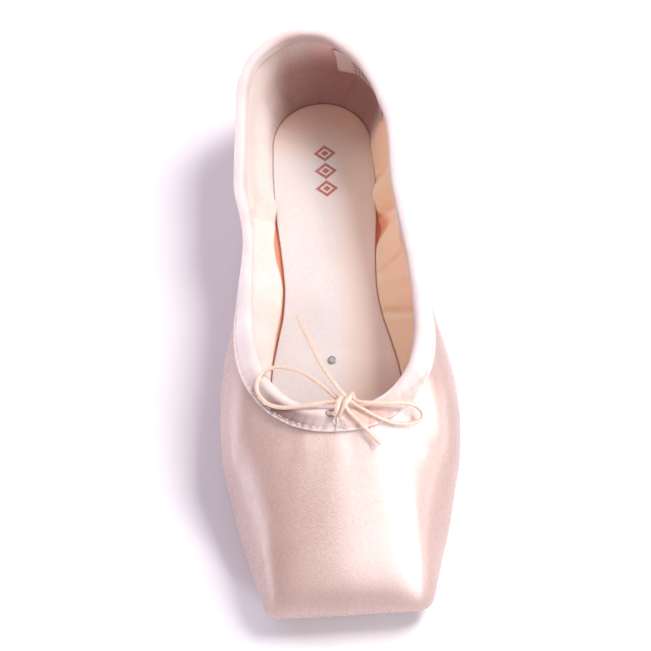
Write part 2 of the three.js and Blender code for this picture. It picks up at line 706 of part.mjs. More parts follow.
const knot = piece("drawstring_knot", knotGeometry(), elastic);
knot.position.set(...KNOT.centre);
shoe.add(knot);
shoe.add(piece("drawstring_loop_left", cordGeometry(LOOP_LEFT), elastic));
shoe.add(piece("drawstring_loop_right", cordGeometry(LOOP_RIGHT), elastic));
shoe.add(piece("drawstring_end_long", cordGeometry(END_LONG), elastic));
shoe.add(piece("drawstring_end_short", cordGeometry(END_SHORT), elastic));

export default shoe;
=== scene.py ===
import bpy
import numpy as np
from mathutils import Matrix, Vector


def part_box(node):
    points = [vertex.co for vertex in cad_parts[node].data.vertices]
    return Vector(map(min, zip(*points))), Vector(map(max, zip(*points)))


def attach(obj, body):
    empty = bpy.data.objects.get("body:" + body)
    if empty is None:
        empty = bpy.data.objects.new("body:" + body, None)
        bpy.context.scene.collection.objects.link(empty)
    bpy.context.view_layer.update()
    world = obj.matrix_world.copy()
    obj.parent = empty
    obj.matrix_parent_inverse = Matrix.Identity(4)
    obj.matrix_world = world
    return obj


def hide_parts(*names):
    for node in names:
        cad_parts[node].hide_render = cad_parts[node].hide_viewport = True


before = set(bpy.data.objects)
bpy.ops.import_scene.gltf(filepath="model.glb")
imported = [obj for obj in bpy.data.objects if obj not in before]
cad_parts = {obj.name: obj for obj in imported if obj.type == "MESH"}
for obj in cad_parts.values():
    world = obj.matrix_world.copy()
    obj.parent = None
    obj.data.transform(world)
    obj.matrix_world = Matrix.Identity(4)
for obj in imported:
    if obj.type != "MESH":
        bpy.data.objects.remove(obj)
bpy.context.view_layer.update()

mm = 0.001  # shapes are worked out in millimetres, meshes are in metres
upperLow, upperHigh = (np.array(corner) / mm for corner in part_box("upper"))


# Shapes: curves and lines

def curveThrough(xs, ys):
    # Monotone cubic through the knots. A tangent is the weighted harmonic mean of its two slopes.
    xs = np.asarray(xs, float)
    ys = np.asarray(ys, float)
    step = np.diff(xs)
    slope = np.diff(ys) / step
    before, after = slope[:-1], slope[1:]
    rising = before * after > 0
    wide = 2 * step[1:] + step[:-1]
    near = step[1:] + 2 * step[:-1]
    shares = wide / np.where(rising, before, 1) + near / np.where(rising, after, 1)
    middle = np.where(rising, (wide + near) / np.where(rising, shares, 1), 0)
    tangent = np.concatenate([slope[:1], middle, slope[-1:]])

    def curve(x):
        x = np.clip(x, xs[0], xs[-1])
        i = np.clip(np.searchsorted(xs, x, side="right") - 1, 0, len(step) - 1)
        t = (x - xs[i]) / step[i]
        rise = ys[i + 1] - ys[i]
        start = step[i] * tangent[i]
        end = step[i] * tangent[i + 1]
        return ys[i] + t * start + t * t * (3 * rise - 2 * start - end) + t ** 3 * (start + end - 2 * rise)

    return curve


def smoothStep(x):
    # 3t^2 - 2t^3 between 0 and 1
    t = np.clip(x, 0, 1)
    return t * t * (3 - 2 * t)


def rises(x, start, width):
    # smoothStep from 0 at start to 1 one width further on. A negative width falls to 0 at start instead.
    return smoothStep((x - start) / width)


def bell(x, width):
    # exp(-(x / width)^2)
    return np.exp(-((x / width) ** 2))


def rowsOf(table):
    # The rows of a table of named columns, each as a dictionary
    return [dict(zip(table, row)) for row in zip(*table.values())]


def waves(x, seed, pitch, count=5):
    # Sum of sines whose lengths are spread round the pitch, scaled to about -1..1.
    draw = np.random.default_rng(seed)
    lengths = pitch * draw.uniform(0.7, 1.6, count)
    phases = draw.uniform(0, 2 * np.pi, count)
    return sum(np.sin(2 * np.pi * x / lengths[k] + phases[k]) for k in range(count)) / np.sqrt(count)


def arcsOf(points):
    # Arc length at each point of a line, or of many lines that run side by side along the first axis
    steps = np.linalg.norm(np.diff(points, axis=0), axis=-1)
    return np.concatenate([np.zeros((1, *steps.shape[1:])), np.cumsum(steps, axis=0)])


def atArcs(points, arcs, at):
    # Places on a line at the given arc lengths
    return np.stack([np.interp(at, arcs, points[:, k]) for k in range(points.shape[1])], -1)


def throughPoints(points, spacing):
    # Catmull-Rom curve through the points, cut into even steps
    p = np.asarray(points, float)
    p = np.vstack([2 * p[0] - p[1], p, 2 * p[-1] - p[-2]])
    t = np.linspace(0, 1, 24, endpoint=False)[None, :, None]
    a, b, c, d = (p[k:len(p) - 3 + k, None, :] for k in range(4))
    square = 2 * a - 5 * b + 4 * c - d
    cube = 3 * b - a - 3 * c + d
    line = 0.5 * (2 * b + (c - a) * t + square * t ** 2 + cube * t ** 3)
    line = np.vstack([line.reshape(-1, 3), p[-2]])
    arcs = arcsOf(line)
    even = np.linspace(0, arcs[-1], max(4, int(round(arcs[-1] / spacing)) + 1))
    return atArcs(line, arcs, even)


def eased(line, times):
    # Tight turns opened: each point but the ends goes to the middle between its own place and the mean of
    # its neighbours.
    for _ in range(times):
        line = np.concatenate([line[:1], (line[:-2] + 2 * line[1:-1] + line[2:]) / 4, line[-1:]])
    return line


def lineLengths(lines):
    return np.linalg.norm(np.diff(lines, axis=1), axis=2).sum(axis=1)


def alongLines(lines, distances):
    # Places at the given distances along each of many lines (lines, points, 3), by one search for all.
    steps = np.linalg.norm(np.diff(lines, axis=1), axis=2)
    arcs = np.concatenate([np.zeros((len(lines), 1)), np.cumsum(steps, axis=1)], axis=1)
    want = np.clip(distances, 0, arcs[:, -1:])
    count = lines.shape[1]
    shift = np.arange(len(lines))[:, None] * (arcs.max() + 1)
    found = np.searchsorted((arcs + shift).ravel(), (want + shift).ravel(), side="right") - 1
    first = np.arange(len(lines))[:, None] * count
    low = np.clip(found.reshape(want.shape), first, first + count - 2)
    flatArcs = arcs.ravel()
    flat = lines.reshape(-1, 3)
    t = (want - flatArcs[low]) / np.maximum(flatArcs[low + 1] - flatArcs[low], 1e-9)
    return flat[low] + np.clip(t, 0, 1)[..., None] * (flat[low + 1] - flat[low])


def unit(vectors):
    return vectors / np.maximum(np.linalg.norm(vectors, axis=-1, keepdims=True), 1e-12)


def normalsOf(grid):
    # Cross product of the way round and the way up, on columns (columns, rows, 3) that close round the shoe.
    around = np.roll(grid, -1, axis=0) - np.roll(grid, 1, axis=0)
    return unit(np.cross(around, np.gradient(grid, axis=1)))


# Shapes: meshes

def makeObject(name, points, faces, materials, uv=None, slotOf=None, marks=None):
    # points in millimetres, faces as an array of quads. A closed mesh with faces inwards is turned round.
    corners = points[faces]
    first = np.einsum("ij,ij->i", corners[:, 0], np.cross(corners[:, 1], corners[:, 2])).sum()
    second = np.einsum("ij,ij->i", corners[:, 0], np.cross(corners[:, 2], corners[:, 3])).sum()
    if first + second < 0:
        faces = faces[:, ::-1]
        uv = None if uv is None else uv[:, ::-1]
    mesh = bpy.data.meshes.new(name)
    mesh.vertices.add(len(points))
    mesh.vertices.foreach_set("co", (points * mm).astype(np.float32).ravel())
    mesh.loops.add(faces.size)
    mesh.loops.foreach_set("vertex_index", faces.astype(np.int32).ravel())
    mesh.polygons.add(len(faces))
    mesh.polygons.foreach_set("loop_start", np.arange(0, faces.size, 4, dtype=np.int32))
    mesh.polygons.foreach_set("use_smooth", np.ones(len(faces), bool))
    if slotOf is not None:
        mesh.polygons.foreach_set("material_index", slotOf.astype(np.int32))
    for material in materials:
        mesh.materials.append(material)
    if uv is not None:
        layer = mesh.uv_layers.new(name="cloth")
        layer.data.foreach_set("uv", uv.astype(np.float32).ravel())
    for label, values in (marks or {}).items():
        mark = mesh.attributes.new(label, "FLOAT", "POINT")
        mark.data.foreach_set("value", np.asarray(values, np.float32).ravel())
    mesh.update(calc_edges=True)
    made = bpy.data.objects.new(name, mesh)
    bpy.context.scene.collection.objects.link(made)
    return made


def ringFaces(rows, columns, closedUp=False):
    # Quads between rings of equal count. The rings close round, and closedUp joins the last to the first.
    low = np.arange(rows if closedUp else rows - 1)[:, None] * columns
    high = (low + columns) % (rows * columns)
    i = np.arange(columns)[None, :]
    j = (i + 1) % columns
    return np.stack([low + i, low + j, high + j, high + i], -1).reshape(-1, 4)


def gridFaces(rows, columns):
    i = np.arange(rows - 1)[:, None] * columns
    j = np.arange(columns - 1)[None, :]
    return np.stack([i + j, i + j + 1, i + j + 1 + columns, i + j + columns], -1).reshape(-1, 4)


def capFaces(start, columns, last):
    # Rungs across a ring, from its first half to its second half, so that the cap is all quads.
    i = np.arange(columns // 2 - 1)
    rungs = np.stack([i, i + 1, columns - 2 - i, columns - 1 - i], -1) + start
    return rungs if last else rungs[:, ::-1]


def stackFaces(rows, around):
    # Faces of a stack of rings that is closed below and above
    top = (rows - 1) * around
    return np.vstack([ringFaces(rows, around), capFaces(0, around, False), capFaces(top, around, True)])


def ringUv(starts, ends, up):
    # Where each column of quads starts and ends round the ring, and up: (rows, columns). The corners are in
    # the order of ringFaces.
    ahead = np.roll(up, -1, axis=1)
    first = np.broadcast_to(starts[None], (len(up) - 1, up.shape[1]))
    second = np.broadcast_to(ends[None], first.shape)
    u = np.stack([first, second, second, first], -1)
    v = np.stack([up[:-1], ahead[:-1], ahead[1:], up[1:]], -1)
    return np.stack([u, v], -1).reshape(-1, 4, 2)


def closedUv(starts, ends, arcs):
    # The same where the last ring joins the first: that row of quads is mapped 2 mm wide.
    last = np.stack([arcs[-1], arcs[-1] + 2])
    return np.concatenate([ringUv(starts, ends, arcs), ringUv(starts, ends, last)])


def tubeParts(line, radius, sides, swell=None):
    # A circle carried along a line on a frame that turns as little as possible, with a dome on each end:
    # there the centre is off the end by radius * cos(a) and the circle is radius * sin(a) wide.
    tangent = unit(np.gradient(line, axis=0))
    side = np.zeros_like(line)
    side[0] = unit(np.cross(tangent[0], [0.3, 0.2, 1]))
    for k in range(1, len(line)):
        side[k] = unit(side[k - 1] - tangent[k] * np.dot(side[k - 1], tangent[k]))
    other = np.cross(tangent, side)
    dome = np.linspace(0.2, np.pi / 2, 4, endpoint=False)
    before = line[0] - radius * np.cos(dome)[:, None] * tangent[0]
    after = line[-1] + radius * np.cos(dome)[::-1, None] * tangent[-1]
    centres = np.vstack([before, line, after])
    widths = radius * np.concatenate([np.sin(dome), np.ones(len(line)), np.sin(dome)[::-1]])
    if swell:
        widths = widths * swell(centres)
    place = np.clip(np.arange(len(centres)) - len(dome), 0, len(line) - 1)
    angle = (np.arange(sides) / sides * 2 * np.pi)[None, :, None]
    spin = np.cos(angle) * side[place, None] + np.sin(angle) * other[place, None]
    points = centres[:, None] + spin * widths[:, None, None]
    arcs = arcsOf(centres)
    up = np.broadcast_to(arcs[:, None], (len(centres), sides))
    faces = stackFaces(len(centres), sides)
    uv = ringUv(np.arange(sides) / sides, np.arange(1, sides + 1) / sides, up)
    uv = np.concatenate([uv, np.zeros((len(faces) - len(uv), 4, 2))])
    return points.reshape(-1, 3), faces, uv


def tubesObject(name, lines, radius, sides, material, swell=None):
    # One object of one or more tubes. swell gives the share by which the tube is wider at a place.
    parts = [tubeParts(line, radius, sides, swell) for line in lines]
    shifts = np.concatenate([[0], np.cumsum([len(points) for points, faces, uv in parts])])
    faces = np.vstack([part[1] + shift for part, shift in zip(parts, shifts)])
    points = np.vstack([part[0] for part in parts])
    return makeObject(name, points, faces, [material], np.concatenate([part[2] for part in parts]))


# Materials: helpers

def addNode(tree, kind, sockets=None, **settings):
    made = tree.nodes.new("ShaderNode" + kind)
    for key, value in settings.items():
        setattr(made, key, value)
    for key, value in (sockets or {}).items():
        if isinstance(value, bpy.types.NodeSocket):
            tree.links.new(value, made.inputs[key])
        else:
            made.inputs[key].default_value = value
    return made


def calc(tree, operation, a, b=0.0, c=0.0):
    return addNode(tree, "Math", {0: a, 1: b, 2: c}, operation=operation).outputs[0]


def colour(code):
    # sRGB hex to linear
    parts = np.array([int(code[k:k + 2], 16) / 255 for k in (1, 3, 5)])
    linear = np.where(parts <= 0.04045, parts / 12.92, ((parts + 0.055) / 1.055) ** 2.4)
    return (*linear, 1)


def mixColours(tree, share, first, second):
    return addNode(tree, "Mix", {0: share, 6: first, 7: second}, data_type="RGBA").outputs[2]


def ramp(tree, value, low, high, start=0.0, end=1.0):
    # Straight change from start to end as the value goes from low to high
    return addNode(tree, "MapRange", {0: value, 1: low, 2: high, 3: start, 4: end}).outputs[0]


def noise(tree, vector, scale, detail=2.0, roughness=0.5):
    sockets = {"Vector": vector, "Scale": scale, "Detail": detail, "Roughness": roughness}
    return addNode(tree, "TexNoise", sockets).outputs["Fac"]


def markOf(tree, name):
    return addNode(tree, "Attribute", attribute_name=name).outputs["Fac"]


def stainAndPaintedLight(tree, base, mark, most, code):
    # The base goes over to the colour by the piece's own mark, up to the share most where the mark is 1.
    # Some marks are real stains such as glue; others are painted shade, painted warm glow and a painted warm
    # reflection.
    return mixColours(tree, ramp(tree, markOf(tree, mark), 0.0, 1.0, 0.0, most), base, colour(code))


def newMaterial(name, fixed):
    material = bpy.data.materials.new(name)
    material.use_nodes = True
    tree = material.node_tree
    shader = tree.nodes["Principled BSDF"]
    for key, value in fixed.items():
        shader.inputs[key].default_value = value
    return material, tree, shader


def newGroup(name, inputs, outputs):
    group = bpy.data.node_groups.new(name, "ShaderNodeTree")
    group.interface.new_socket("Vector", in_out="INPUT", socket_type="NodeSocketVector")
    for label, value in inputs.items():
        group.interface.new_socket(label, in_out="INPUT", socket_type="NodeSocketFloat").default_value = value
    for label in outputs:
        group.interface.new_socket(label, in_out="OUTPUT", socket_type="NodeSocketFloat")
    return group, group.nodes.new("NodeGroupInput").outputs, group.nodes.new("NodeGroupOutput").inputs


def useGroup(tree, group, vector, **values):
    made = tree.nodes.new("ShaderNodeGroup")
    made.node_tree = group
    tree.links.new(vector, made.inputs["Vector"])
    for key, value in values.items():
        made.inputs[key].default_value = value
    return made.outputs


def bumpInto(tree, shader, *layers):
    # Each layer is (height, distance in millimetres, strength), laid one on the other.
    normal = None
    for height, distance, strength in layers:
        sockets = {"Height": height, "Distance": distance * mm, "Strength": strength}
        if normal is not None:
            sockets["Normal"] = normal
        normal = addNode(tree, "Bump", sockets).outputs["Normal"]
    tree.links.new(normal, shader.inputs["Normal"])


# Shared effects

def threadGroup():
    # Height of a weave: sin(v) * (1 - Cross + Cross * sin(u)), with v slanted for a twill. A noise makes the
    # threads wander.
    sockets = {"Pitch": 0.5, "Slant": 0.0, "Wander": 0.3, "Cross": 0.5}
    group, given, put = newGroup("threads", sockets, ["Height", "Mask"])
    wander = noise(group, given["Vector"], 0.35, 3)
    drift = calc(group, "MULTIPLY", calc(group, "SUBTRACT", wander, 0.5), given["Wander"])
    parts = addNode(group, "SeparateXYZ", {0: given["Vector"]}).outputs
    across = calc(group, "ADD", parts["X"], drift)
    slanted = calc(group, "MULTIPLY_ADD", across, given["Slant"], calc(group, "ADD", parts["Y"], drift))
    turn = calc(group, "DIVIDE", 2 * np.pi, given["Pitch"])
    rib = calc(group, "SINE", calc(group, "MULTIPLY", slanted, turn))
    cross = calc(group, "SINE", calc(group, "MULTIPLY", across, turn))
    plain = calc(group, "SUBTRACT", 1.0, given["Cross"])
    both = calc(group, "MULTIPLY", rib, calc(group, "MULTIPLY_ADD", cross, given["Cross"], plain))
    group.links.new(calc(group, "MULTIPLY_ADD", both, 0.5, 0.5), put["Height"])
    group.links.new(calc(group, "LESS_THAN", both, -0.35), put["Mask"])
    return group


def streakGroup():
    # Uneven yarn: a noise drawn out along one axis by Stretch.
    group, given, put = newGroup("yarnStreaks", {"Scale": 2.0, "Stretch": 12.0}, ["Value"])
    parts = addNode(group, "SeparateXYZ", {0: given["Vector"]}).outputs
    drawn = calc(group, "DIVIDE", parts["Y"], given["Stretch"])
    sockets = {"X": parts["X"], "Y": drawn, "Z": parts["Z"]}
    vector = addNode(group, "CombineXYZ", sockets).outputs[0]
    group.links.new(noise(group, vector, given["Scale"], 3, 0.6), put["Value"])
    return group


def lozengeGroup():
    # Lozenges in a grid: in each cell |x| / Wide + |y| / Tall, filled below 0.35 and from 0.6 to 1, for
    # |y| on the whole below Reach.
    sockets = {"Wide": 1.0, "Tall": 1.0, "PitchX": 100.0, "PitchY": 2.0, "Reach": 10.0}
    group, given, put = newGroup("lozenges", sockets, ["Mask"])
    parts = addNode(group, "SeparateXYZ", {0: given["Vector"]}).outputs
    share = 0.0
    for axis, size in (("X", "Wide"), ("Y", "Tall")):
        halfPitch = calc(group, "MULTIPLY", given["Pitch" + axis], 0.5)
        low = calc(group, "MULTIPLY", halfPitch, -1.0)
        inCell = calc(group, "ABSOLUTE", calc(group, "WRAP", parts[axis], halfPitch, low))
        share = calc(group, "ADD", calc(group, "DIVIDE", inCell, given[size]), share)
    outer = ramp(group, share, 0.95, 1.05, 1.0, 0.0)
    gap = calc(group, "MULTIPLY", ramp(group, share, 0.33, 0.4), ramp(group, share, 0.57, 0.64, 1.0, 0.0))
    whole = calc(group, "LESS_THAN", calc(group, "ABSOLUTE", parts["Y"]), given["Reach"])
    drawn = calc(group, "MULTIPLY", calc(group, "SUBTRACT", outer, gap), whole)
    group.links.new(drawn, put["Mask"])
    return group


def moved(tree, vector, offset):
    return addNode(tree, "VectorMath", {0: vector, 1: offset}, operation="SUBTRACT").outputs[0]


def scaled(tree, vector, factors):
    return addNode(tree, "VectorMath", {0: vector, 1: factors}, operation="MULTIPLY").outputs[0]


def inMillimetres(tree):
    # Object coordinates in millimetres
    return scaled(tree, addNode(tree, "TexCoord").outputs["Object"], (1 / mm,) * 3)


def clothUv(tree):
    # The cloth's own map, which is in millimetres
    return addNode(tree, "UVMap", uv_map="cloth").outputs[0]


# Camera, at the photograph's angle to the shoe

camera = {
    "place": (-1.141, -230.509, 449.996),  # mm
    "down": 1.08936, "turn": -0.00795, "roll": -0.06548,  # radians
    "focal": 1237.3, "frame": 651,  # both in pixels
    "sensor": 36,
}


def addCamera():
    # forward = (sin turn cos down, cos turn cos down, -sin down), right = forward x up, both rolled.
    down, turn, roll = camera["down"], camera["turn"], camera["roll"]
    forward = np.array([np.sin(turn) * np.cos(down), np.cos(turn) * np.cos(down), -np.sin(down)])
    level = unit(np.cross(forward, [0, 0, 1]))
    top = np.cross(level, forward)
    right = np.cos(roll) * level + np.sin(roll) * top
    up = -np.sin(roll) * level + np.cos(roll) * top
    data = bpy.data.cameras.new("camera")
    data.sensor_width = camera["sensor"]
    data.lens = camera["focal"] / camera["frame"] * camera["sensor"]
    data.clip_start = 0.01
    made = bpy.data.objects.new("camera", data)
    matrix = np.eye(4)
    matrix[:3, :3] = np.stack([right, up, -forward], 1)
    matrix[:3, 3] = np.array(camera["place"]) * mm
    made.matrix_world = Matrix(matrix)
    bpy.context.scene.collection.objects.link(made)
    bpy.context.scene.camera = made


addCamera()


# The tied cord: two ends of one elastic leave the casing, make a bow and end free

cord = {
    "diameter": 1.5, "sides": 12, "spacing": 0.35,
    "knot": (2.0, -53.4, 52.4), "knotSize": 3.0, "swell": 0.45, "easeTimes": 5,
    "tailLeft": [[-2.0, -54.2, 45.6], [-1.9, -55.6, 47.9], [-1.2, -56.7, 50.0], [-0.6, -56.2, 51.7],
                 [-0.1, -54.5, 52.6], [0.6, -52.8, 52.7], [1.7, -51.2, 51.9], [2.5, -50.3, 50.4],
                 [2.0, -50.6, 49.3], [0.6, -50.8, 49.3]],
    "loopLeft": [[-1.0, -50.1, 49.9], [-4.1, -47.1, 51.0], [-9.0, -42.9, 51.7], [-13.9, -39.7, 51.6],
                 [-19.0, -38.0, 51.2], [-22.9, -37.7, 50.4], [-26.3, -38.9, 49.6], [-28.1, -41.8, 49.2],
                 [-28.6, -44.9, 48.8], [-27.2, -48.1, 48.2], [-24.3, -50.8, 47.8], [-19.7, -52.2, 47.8],
                 [-14.6, -52.4, 48.4], [-8.5, -52.3, 49.2], [-4.5, -51.9, 49.4]],
    "crossLeft": [[-1.6, -52.0, 49.6], [0.5, -52.0, 49.9], [2.2, -51.9, 50.3]],
    "endLong": [[2.8, -51.0, 51.3], [1.5, -49.6, 52.3], [-2.3, -44.2, 53.6], [-5.6, -38.1, 54.0],
                [-8.3, -31.1, 54.0], [-10.9, -24.2, 53.4], [-12.8, -18.2, 52.4]],
    "tailRight": [[-0.9, -54.6, 45.6], [0.4, -56.2, 47.6], [0.8, -56.0, 49.7], [1.5, -55.0, 51.4],
                  [2.5, -53.9, 52.5], [3.9, -52.6, 52.8], [4.9, -51.0, 52.2], [5.4, -49.6, 51.1],
                  [5.6, -49.9, 49.7], [5.8, -51.1, 49.2]],
    "loopRight": [[6.9, -52.2, 49.4], [8.6, -52.8, 49.7], [10.8, -53.1, 49.8], [15.9, -53.5, 49.7],
                  [20.9, -53.4, 49.2], [25.5, -53.6, 48.0], [28.5, -54.8, 46.6], [29.9, -56.6, 45.4],
                  [29.2, -58.4, 44.6], [26.2, -59.5, 44.3], [21.6, -59.7, 44.8], [16.5, -58.6, 46.0],
                  [12.1, -56.7, 47.4], [8.6, -54.7, 48.4], [6.6, -53.4, 48.8]],
    "crossRight": [[5.0, -52.2, 49.1], [3.6, -51.7, 49.5], [2.5, -52.3, 49.8]],
    "endShort": [[2.4, -53.7, 49.6], [3.6, -55.5, 49.0], [6.0, -57.9, 48.2], [8.6, -60.9, 47.4],
                 [11.2, -63.9, 46.5], [13.8, -67.0, 45.7]],
}


def elasticMaterial():
    material, tree, shader = newMaterial("elastic", {"Roughness": 0.5, "Sheen Weight": 0.25})
    place = scaled(tree, clothUv(tree), (8.0, 2.4, 1.0))
    braid = useGroup(tree, threads, place, Pitch=1.0, Slant=1.0, Wander=0.05)
    fleck = noise(tree, inMillimetres(tree), 1.3, 3)
    base = mixColours(tree, ramp(tree, fleck, 0.35, 0.65), colour("#dcbba6"), colour("#e4c8b6"))
    tree.links.new(base, shader.inputs["Base Color"])
    bumpInto(tree, shader, (braid["Height"], 0.05, 0.35))
    return material


def addCord(name, stretches, nodes, material):
    points = [point for stretch in stretches for point in cord[stretch]]
    line = eased(throughPoints(points, cord["spacing"]), cord["easeTimes"])

    def swell(places):
        away = np.linalg.norm(places - cord["knot"], axis=1)
        return 1 + cord["swell"] * bell(away, cord["knotSize"])

    piece = tubesObject(name, [line], cord["diameter"] / 2, cord["sides"], material, swell)
    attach(piece, "root")
    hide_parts(*nodes)
    return piece


threads = threadGroup()
streaks = streakGroup()
lozenges = lozengeGroup()
elastic = elasticMaterial()
addCord("drawstring_left", ["tailLeft", "loopLeft", "crossLeft", "endLong"],
        ["drawstring_loop_left", "drawstring_end_long", "drawstring_knot"], elastic)
addCord("drawstring_right", ["tailRight", "loopRight", "crossRight", "endShort"],
        ["drawstring_loop_right", "drawstring_end_short"], elastic)


# The last: four outlines seen from above and the sections between them

shoe = {
    "length": upperHigh[1] - upperLow[1],
    "ballWidth": upperHigh[0] - upperLow[0],
    "heelHeight": upperHigh[2],
    "platformWidth": 62, "platformCorner": 7, "platformFlare": 0.31,
    "quarterWall": 1.8, "boxWall": 3, "soleThickness": 2.6, "soleEdge": 0.8, "soleOverlap": 3,
    "archRise": 2.5, "archStart": -0.17, "archEnd": 0.275, "pleatDrop": 1.7, "toeSpring": 2.2,
    "insoleThickness": 1.6, "insoleLap": 4.3, "lastedMargin": 5, "seatGap": 0.3, "sectionPower": 2.4,
    "throatFront": -0.231, "throatPower": 2.4, "toplineBack": 0.484, "toplineLean": -0.113,
    "backPower": {1: 1.85, -1: 2},
    "openingFront": -0.297, "openingBack": 0.46, "openingPower": 2.5,
    "insoleFront": -0.415, "insoleToe": (-0.3, 0.54),
    "rimRise": 0.5, "crownSplit": 1.15,
}
# y as a share of the length, widths as shares of half the ball width
bodyRows = {
    "y": [-0.424, -0.381, -0.318, -0.254, -0.199, -0.153, -0.106, -0.051, 0, 0.064, 0.148, 0.246, 0.347],
    "half": [0.775, 0.845, 0.925, 0.98, 1, 0.993, 0.965, 0.9, 0.825, 0.75, 0.7, 0.68, 0.675],
    "centre": [-0.006, -0.004, 0.002, 0.008, 0.011, 0.011, 0.008, 0.004, 0, 0, -0.005, -0.008, -0.01],
}
toplineRows = {
    1: {"y": [-0.042, 0.02, 0.068, 0.11, 0.157, 0.199, 0.263],
        "out": [0.722, 0.718, 0.697, 0.674, 0.651, 0.63, 0.645]},
    -1: {"y": [-0.042, 0.034, 0.093, 0.14, 0.195, 0.254, 0.305, 0.356],
         "out": [0.713, 0.709, 0.695, 0.722, 0.768, 0.755, 0.735, 0.72]},
}
openingRows = {
    "y": [-0.195, -0.148, -0.085, -0.021, 0.021, 0.076, 0.148, 0.233, 0.318, 0.381],
    "half": [0.486, 0.49, 0.463, 0.393, 0.344, 0.32, 0.338, 0.375, 0.389, 0.382],
}
toplineHeight = {
    "y": [-0.231, -0.127, 0, 0.119, 0.254, 0.381, 0.484],
    "z": [0.861, 0.868, 0.826, 0.796, 0.848, 0.944, 1],
}
# Sections in order: toe, front, corner, vamp, ball, wing, waist, seat, heel. Where each crosses the
# outlines, then the heights, turns and stiffness of the section. None stands for the ends.
sections = {
    "body": [None, -0.4999, -0.4795, -0.339, -0.195, -0.059, 0.085, 0.318, None],
    "throat": [None, -0.2265, -0.219, -0.196, -0.15, -0.06, 0.085, 0.29, None],
    "opening": [None, -0.288, -0.278, -0.255, -0.18, -0.059, 0.085, 0.318, None],
    "insole": [None, -0.408, -0.395, -0.315, -0.18, -0.059, 0.085, 0.318, None],
    "widest": [0.21, 0.21, 0.215, 0.255, 0.287, 0.287, 0.278, 0.333, 0.407],
    "shoulder": [0.395, 0.393, 0.395, 0.5, 0.8, 0.8, 0.79, 0.88, 0.98],
    "over": [0.12, 0.13, 0.24, 0.54, 0.58, 0.66, 0.66, 0.66, 0.53],
    "under": [0.17, 0.17, 0.19, 0.33, 0.44, 0.42, 0.33, 0.31, 0.33],
    "bulge": [0.4, 0.36, 0.22, 0.22, 0.25, 0.25, 0.2, 0.1, 0.1],
    "box": [1, 1, 1, 1, 0.8, 0.2, 0, 0, 0],
}
# How the columns of the mesh are spread along the widest outline, as shares of its length
spread = {"column": [0, 44, 70, 130, 300], "arc": [0, 0.096, 0.135, 0.34, 1]}

length = shoe["length"]
halfBall = shoe["ballWidth"] / 2


def measured(points):
    # A line with its arc length: places at an arc, and the arc where it first reaches a y.
    arcs = arcsOf(points)

    def at(arc):
        return atArcs(points, arcs, arc)

    def arcAt(y):
        i = np.clip(np.searchsorted(points[:, 1], y), 1, len(points) - 1)
        t = (y - points[i - 1, 1]) / max(points[i, 1] - points[i - 1, 1], 1e-9)
        return arcs[i - 1] + np.clip(t, 0, 1) * (arcs[i] - arcs[i - 1])

    return {"length": arcs[-1], "at": at, "arcAt": arcAt}


def superQuarter(middle, side, power):
    # Quarter of a superellipse from the centre line to the side: sin(a)^(2/power) across, cos along.
    angle = np.linspace(0, np.pi / 2, 61)
    across = np.sin(angle) ** (2 / power)
    along = np.abs(np.cos(angle)) ** (2 / power)
    x = middle[0] + (side[0] - middle[0]) * across
    return np.stack([x, side[1] + (middle[1] - side[1]) * along], 1)


def sideLine(ys, xs):
    y = np.linspace(ys[0], ys[-1], 161)[1:-1]
    return np.stack([curveThrough(ys, xs)(y), y], 1)


def tableLine(xs, ys, front, frontPower, back, backPower):
    start = superQuarter(front, (xs[0], ys[0]), frontPower)
    end = superQuarter(back, (xs[-1], ys[-1]), backPower)[::-1]
    return measured(np.vstack([start, sideLine(ys, xs), end]))


def bodyLine(side):
    # The widest outline: flat platform, its corner as an arc, the side and the round heel.
    radius = shoe["platformCorner"]
    flare = shoe["platformFlare"]
    toe = -length / 2
    flat = shoe["platformWidth"] / 2 - radius * np.cos(flare)
    share = np.linspace(0, 1, 33)
    front = np.stack([side * flat * share[:-1], np.full(32, toe)], 1)
    angle = share * (np.pi / 2 - flare)
    corner = np.stack([side * (flat + radius * np.sin(angle)), toe + radius * (1 - np.cos(angle))], 1)
    ys = [corner[-1, 1], *(np.array(bodyRows["y"]) * length)]
    halves = np.array(bodyRows["half"]) * side + np.array(bodyRows["centre"])
    xs = [corner[-1, 0], *(halves * halfBall)]
    heel = superQuarter((0, length / 2), (xs[-1], ys[-1]), 2)[::-1]
    return measured(np.vstack([front, corner, sideLine(ys, xs), heel]))


def toplineLine(side):
    rows = toplineRows[side]
    back = (shoe["toplineLean"] * halfBall, shoe["toplineBack"] * length)
    return tableLine(side * np.array(rows["out"]) * halfBall, np.array(rows["y"]) * length,
                     (0, shoe["throatFront"] * length), shoe["throatPower"], back, shoe["backPower"][side])


def openingLine(side):
    return tableLine(side * np.array(openingRows["half"]) * halfBall, np.array(openingRows["y"]) * length,
                     (0, shoe["openingFront"] * length), shoe["openingPower"],
                     (0, shoe["openingBack"] * length), 2)


def insoleLine(side):
    # The opening of the upper, wider by the insole's lap, and on into the toe box.
    toeY, toeHalf = shoe["insoleToe"]
    halves = np.array(openingRows["half"]) * halfBall + shoe["insoleLap"]
    xs = side * np.array([toeHalf * halfBall, *halves])
    ys = np.array([toeY, *openingRows["y"]]) * length
    back = (0, shoe["openingBack"] * length + shoe["insoleLap"])
    return tableLine(xs, ys, (0, shoe["insoleFront"] * length), shoe["openingPower"], back, 2)


rimHeight = curveThrough(np.array(toplineHeight["y"]) * length,
                         np.array(toplineHeight["z"]) * shoe["heelHeight"])


